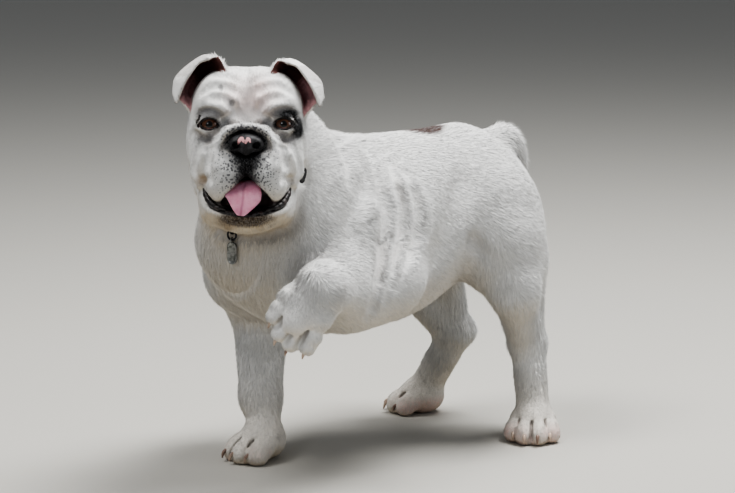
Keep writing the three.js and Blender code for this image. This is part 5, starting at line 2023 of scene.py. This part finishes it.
@dataclass(frozen=True)
class Collar:
    """A webbing strap on the neck, with the ring and the blank tag at the throat.

    Each point of the path is followed by how far the strap stands out of the skin:
    loose folds close over it under the chin and along the left cheek.
    """

    width: float = 11
    depth: float = 3.6
    path: Line = (
        (15, -206, 267, -2.5), (32, -199, 260, -2.5), (50, -185, 258, -2.5), (66, -168, 263, -2.5),
        (75, -156, 282, -2.5), (76, -152, 304, -2.5), (74, -147, 322, -1), (71, -141, 335, 0.4),
        (64, -131, 349, -3.2), (48, -119, 361, -2.4), (22, -108, 368, 1.4), (-8, -108, 366, 2.2),
        (-42, -124, 352, 2.4), (-66, -148, 326, 2.4), (-68, -174, 305, 2.2), (-52, -194, 288, 0.5),
        (-28, -204, 275, -2.5), (-6, -208, 271, -2.5),
    )
    throat: Point = (24, -203, 262)
    loop: Point = (1.4, 4.4, 1.2)
    ring: Point = (2.9, 4.9, 0.95)
    tag: Point = (11, 23, 2)
    eye: Point = (2.4, 0.8)
    gap: float = 0.3

    def webbing(self) -> Material:
        """Black woven webbing."""
        paint = Paint("webbing")
        weave = (paint.mark("across") * 4.2).sine() * (paint.mark("along") * 3.4).sine()
        base = paint.mix((weave * 0.5 + 0.5).kept(), (0.010, 0.010, 0.012), (0.035, 0.035, 0.04))
        base = paint.mix(paint.noise(120, 3).rise(0.6, 0.8) * 0.5, base, (0.12, 0.115, 0.11))
        paint.bump(weave, 0.0004, 0.8)
        return paint.finish(base, 0.78, Sheen_Weight=0.3)

    def metal(self, name: str, light: Point, dark: Point, rough: float) -> Material:
        """Worn metal between a light and a dark tone."""
        paint = Paint(name)
        wear = paint.noise(260, 4, 0.65)
        base = paint.mix(wear.rise(0.4, 0.68), light, dark)
        paint.bump(paint.noise(700, 2, 0.5, (1, 1, 3)), 0.0002, 0.5)
        return paint.finish(base, (wear - 0.5) * 0.5 + rough, Metallic=0.95)

    def strap(self, clay: Clay, steps: int = 360) -> Object:
        """Makes the strap, laid on the neck.

        Args:
            clay: The body's flesh without the head.
            steps: How many cross-sections it has.

        Returns:
            The strap.
        """
        line = np.array([p[:3] for p in self.path], float)
        stand = curve([(p[3], 0, 0) for p in self.path], steps, closed=True)[:, 0]
        at = clay.drawn(curve(clay.drawn(line), steps, closed=True))
        out = clay.slope(at)
        ahead = unit(np.roll(at, -1, axis=0) - np.roll(at, 1, axis=0))
        across = unit(np.cross(ahead, out))
        w, d, e = self.width / 2, self.depth, 0.7
        section = [(-w, -e), (-w + e, 0), (-w / 3, 0.25), (w / 3, 0.25), (w - e, 0), (w, -e),
                   (w, e - d), (w - e, -d), (-w + e, -d), (-w, e - d)]
        n = len(section)
        side, up = np.array(section).T
        points = at[:, None] + across[:, None] * side[None, :, None] \
            + out[:, None] * (stand[:, None] + up[None])[:, :, None]
        faces = net_faces(steps, n)[:, OTHER_WAY]
        made = mesh_object("strap", points.reshape(-1, 3), faces)
        length = np.cumsum(lengths(np.roll(at, -1, axis=0) - at))
        carry(made, "along", np.repeat(length, n))
        carry(made, "across", np.tile(side, steps))
        made.data.materials.append(self.webbing())
        return made

    def hoop(self, centre: Array, normal: Array, radius: float, wire: float, count: int = 48,
             sides: int = 14) -> tuple[Array, Array]:
        """A round wire ring.

        Args:
            centre: Its middle.
            normal: Its axis.
            radius: To the middle of the wire.
            wire: The wire's radius.
            count: How many sections it has.
            sides: How many sides the wire has.

        Returns:
            Points and faces.
        """
        x = unit(np.cross(normal, (0.3, 0.1, 1.0)))
        y = np.cross(normal, x)
        a = np.arange(count)[:, None] / count * 2 * math.pi
        b = np.arange(sides)[None] / sides * 2 * math.pi
        r = radius + wire * np.cos(b)
        points = centre + (r * np.cos(a))[..., None] * x + (r * np.sin(a))[..., None] * y \
            + (wire * np.sin(b) + 0 * a)[..., None] * normal
        return points.reshape(-1, 3), net_faces(count, sides)

    def hang(self, clay: Clay) -> list[Object]:
        """Makes the loop on the strap, the ring and the tag.

        Args:
            clay: The body's flesh without the head.

        Returns:
            The loop, the ring and the tag.
        """
        throat = clay.drawn(np.array([self.throat], float))[0]
        facing = unit(clay.slope(throat[None])[0] * (1, 1, 0))
        sideways = np.cross(facing, (0, 0, 1))
        down = np.array([0.0, 0.0, -1.0])
        ring_drop = self.ring[1] + 0.9
        eye_drop = ring_drop + self.ring[1] - 1.1 - self.gap - self.eye[1] + self.eye[0]
        wire = self.metal("dark_wire", (0.06, 0.06, 0.065), (0.015, 0.015, 0.016), 0.35)
        at = throat + facing * self.loop[0]
        loop = mesh_object("collar_loop", *self.hoop(at, sideways, *self.loop[1:]))
        at = throat + facing * self.ring[0]
        ring = mesh_object("tag_ring", *self.hoop(at + down * ring_drop, facing, *self.ring[1:]))
        for made in (loop, ring):
            made.data.materials.append(wire)
        points, faces = self.hoop(at + down * eye_drop, sideways, *self.eye)
        plate = self.plate(at + down * (eye_drop + self.eye[0] + self.tag[1] / 2 - 0.6), facing, sideways)
        points, faces = np.vstack([points, plate[0]]), np.vstack([faces, plate[1] + len(points)])
        tag = mesh_object("blank_tag", points, faces)
        tag.data.materials.append(self.metal("pewter", (0.34, 0.345, 0.33), (0.15, 0.155, 0.145), 0.42))
        return [loop, ring, tag]

    def plate(self, at: Array, facing: Array, sideways: Array, count: int = 64) -> tuple[Array, Array]:
        """The tag's plate: a long round with a raised rim.

        Args:
            at: Its middle.
            facing: The way that it looks.
            sideways: The way that it is narrow.
            count: How many points go round it.

        Returns:
            Points and faces.
        """
        wide, high, thick = (v / 2 for v in self.tag)
        a = np.arange(count) / count * 2 * math.pi
        flat = 0.55
        half = [(4.5, flat), (1.5, flat), (1.1, 0.95), (0.3, 1.0), (0, 0.6)]
        rings = []
        for inset, up in half + [(inset, -up) for inset, up in half[::-1]]:
            x = (wide - inset) * np.cos(a)
            z = (wide - inset) * np.sin(a) + (high - wide) * np.sign(np.sin(a))
            level = at + facing * (up * thick)
            rings.append(level + x[:, None] * sideways + z[:, None] * np.array([0, 0, 1.0]))
        points = np.vstack([*rings, [at + facing * flat * thick, at - facing * flat * thick]])
        first, last = len(points) - 2, (len(rings) - 1) * count
        j = np.arange(0, count, 2)
        after, next_but_one = (j + 1) % count, (j + 2) % count
        front = np.stack([0 * j + first, next_but_one, after, j], axis=1)
        back = np.stack([0 * j + first + 1, last + j, last + after, last + next_but_one], axis=1)
        quads = net_faces(len(rings), count, closed=False)[:, OTHER_WAY]
        return points, np.vstack([quads, front, back])


@dataclass
class Studio:
    """Floor, lights and the camera."""

    eye: Point = (1953.23, -1590.33, 663.57)
    ahead: Point = (-0.76534, 0.61976, -0.17365)
    right: Point = (0.62932, 0.77715, 0.0)
    lens: float = 117.55
    sensor: float = 36
    sky: tuple[Point, float] = ((0.80, 0.83, 0.87, 1), 0.24)
    lights: tuple[tuple[str, Point, float, float, Point], ...] = (
        ("top", (0.3, 0.7, 2.4), 1.1, 66, (1.0, 0.99, 0.97)),
        ("face", (-0.3, -1.0, 2.4), 0.9, 26, (1.0, 0.98, 0.95)),
        ("fill", (0.95, -2.0, 1.15), 0.45, 4.5, (0.97, 0.98, 1.0)),
        ("side", (2.2, 1.5, 0.8), 1.2, 8, (0.97, 0.98, 1.0)),
    )

    def camera(self) -> None:
        """Places the camera at the photograph's angle and framing."""
        data = bpy.data.cameras.new("camera")
        data.lens = self.lens
        data.sensor_width = self.sensor
        data.clip_end = 60
        made = bpy.data.objects.new("camera", data)
        ahead, right = Vector(self.ahead), Vector(self.right)
        up = right.cross(ahead)
        turn = Matrix((right, up, -ahead)).transposed().to_4x4()
        made.matrix_world = Matrix.Translation(Vector((np.array(self.eye) + SHIFT) * MM)) @ turn
        bpy.context.scene.collection.objects.link(made)
        bpy.context.scene.camera = made

    def light(self, name: str, at: Point, size: float, power: float, tint: Point) -> None:
        """Adds a soft square light that looks at the figure.

        Args:
            name: Its name.
            at: Its place in metres.
            size: The length of its side.
            power: Its power in watts.
            tint: Its colour.
        """
        data = bpy.data.lights.new(name, "AREA")
        data.size = size
        data.energy = power
        data.color = tint
        made = bpy.data.objects.new(name, data)
        made.location = at
        made.rotation_euler = (Vector((0, 0, 0.2)) - Vector(at)).to_track_quat("-Z", "Y").to_euler()
        bpy.context.scene.collection.objects.link(made)

    def build(self) -> None:
        """Makes the floor, the lights and the pale surroundings."""
        bpy.ops.mesh.primitive_plane_add(size=40)
        floor = bpy.context.object
        floor.name = "floor"
        paint = Paint("floor")
        floor.data.materials.append(paint.finish((0.50, 0.49, 0.46), 0.9))
        for name, at, size, power, tint in self.lights:
            self.light(name, at, size, power, tint)
        world = bpy.data.worlds.new("studio")
        world.use_nodes = True
        for socket, given in zip(world.node_tree.nodes["Background"].inputs, self.sky):
            socket.default_value = given
        bpy.context.scene.world = world
        bpy.context.scene.view_settings.look = "AgX - High Contrast"


def report(made: Object, slot: str, *nodes: str) -> None:
    """Lets a piece ride on the figure in place of its nodes and logs it."""
    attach(made, BODY)
    if nodes:
        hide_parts(*nodes)
    LOG.info("%s: %d faces", made.name, len(made.data.polygons))


def main() -> None:
    """Builds the figure piece by piece."""
    logging.basicConfig(level=logging.INFO, format="%(name)s: %(message)s")
    body, head = Body(), Head()
    studio = Studio()
    studio.camera()
    studio.build()
    skin = Skin(body, head)
    made = skin.build()
    report(made, "coat", *skin.nodes)
    for piece in Coat(head, made).build():
        report(piece, "coat")
    for side in SIDES:
        report(Eyes(head).build(side), "eye", f"eye_{SIDE_NAMES[side]}")
        report(Eyes(head).rims(side), "coat")
        report(Lips(head).build(side), "nose_skin")
    report(Lips(head).scallops(), "nose_skin")
    report(Nose(head).build(), "nose_skin", "nose")
    report(Tongue(head).build(), "tongue_skin", "tongue")
    claws = Claws(body)
    for node in claws.paths():
        report(claws.build(node), "claw", node)
    collar, neck = Collar(), skin.neck()
    loop, ring, tag = collar.hang(neck)
    report(collar.strap(neck), "strap", "collar")
    report(loop, "wire")
    report(ring, "wire", "ring")
    report(tag, "pewter", "tag")


if __name__ == "__main__":
    main()
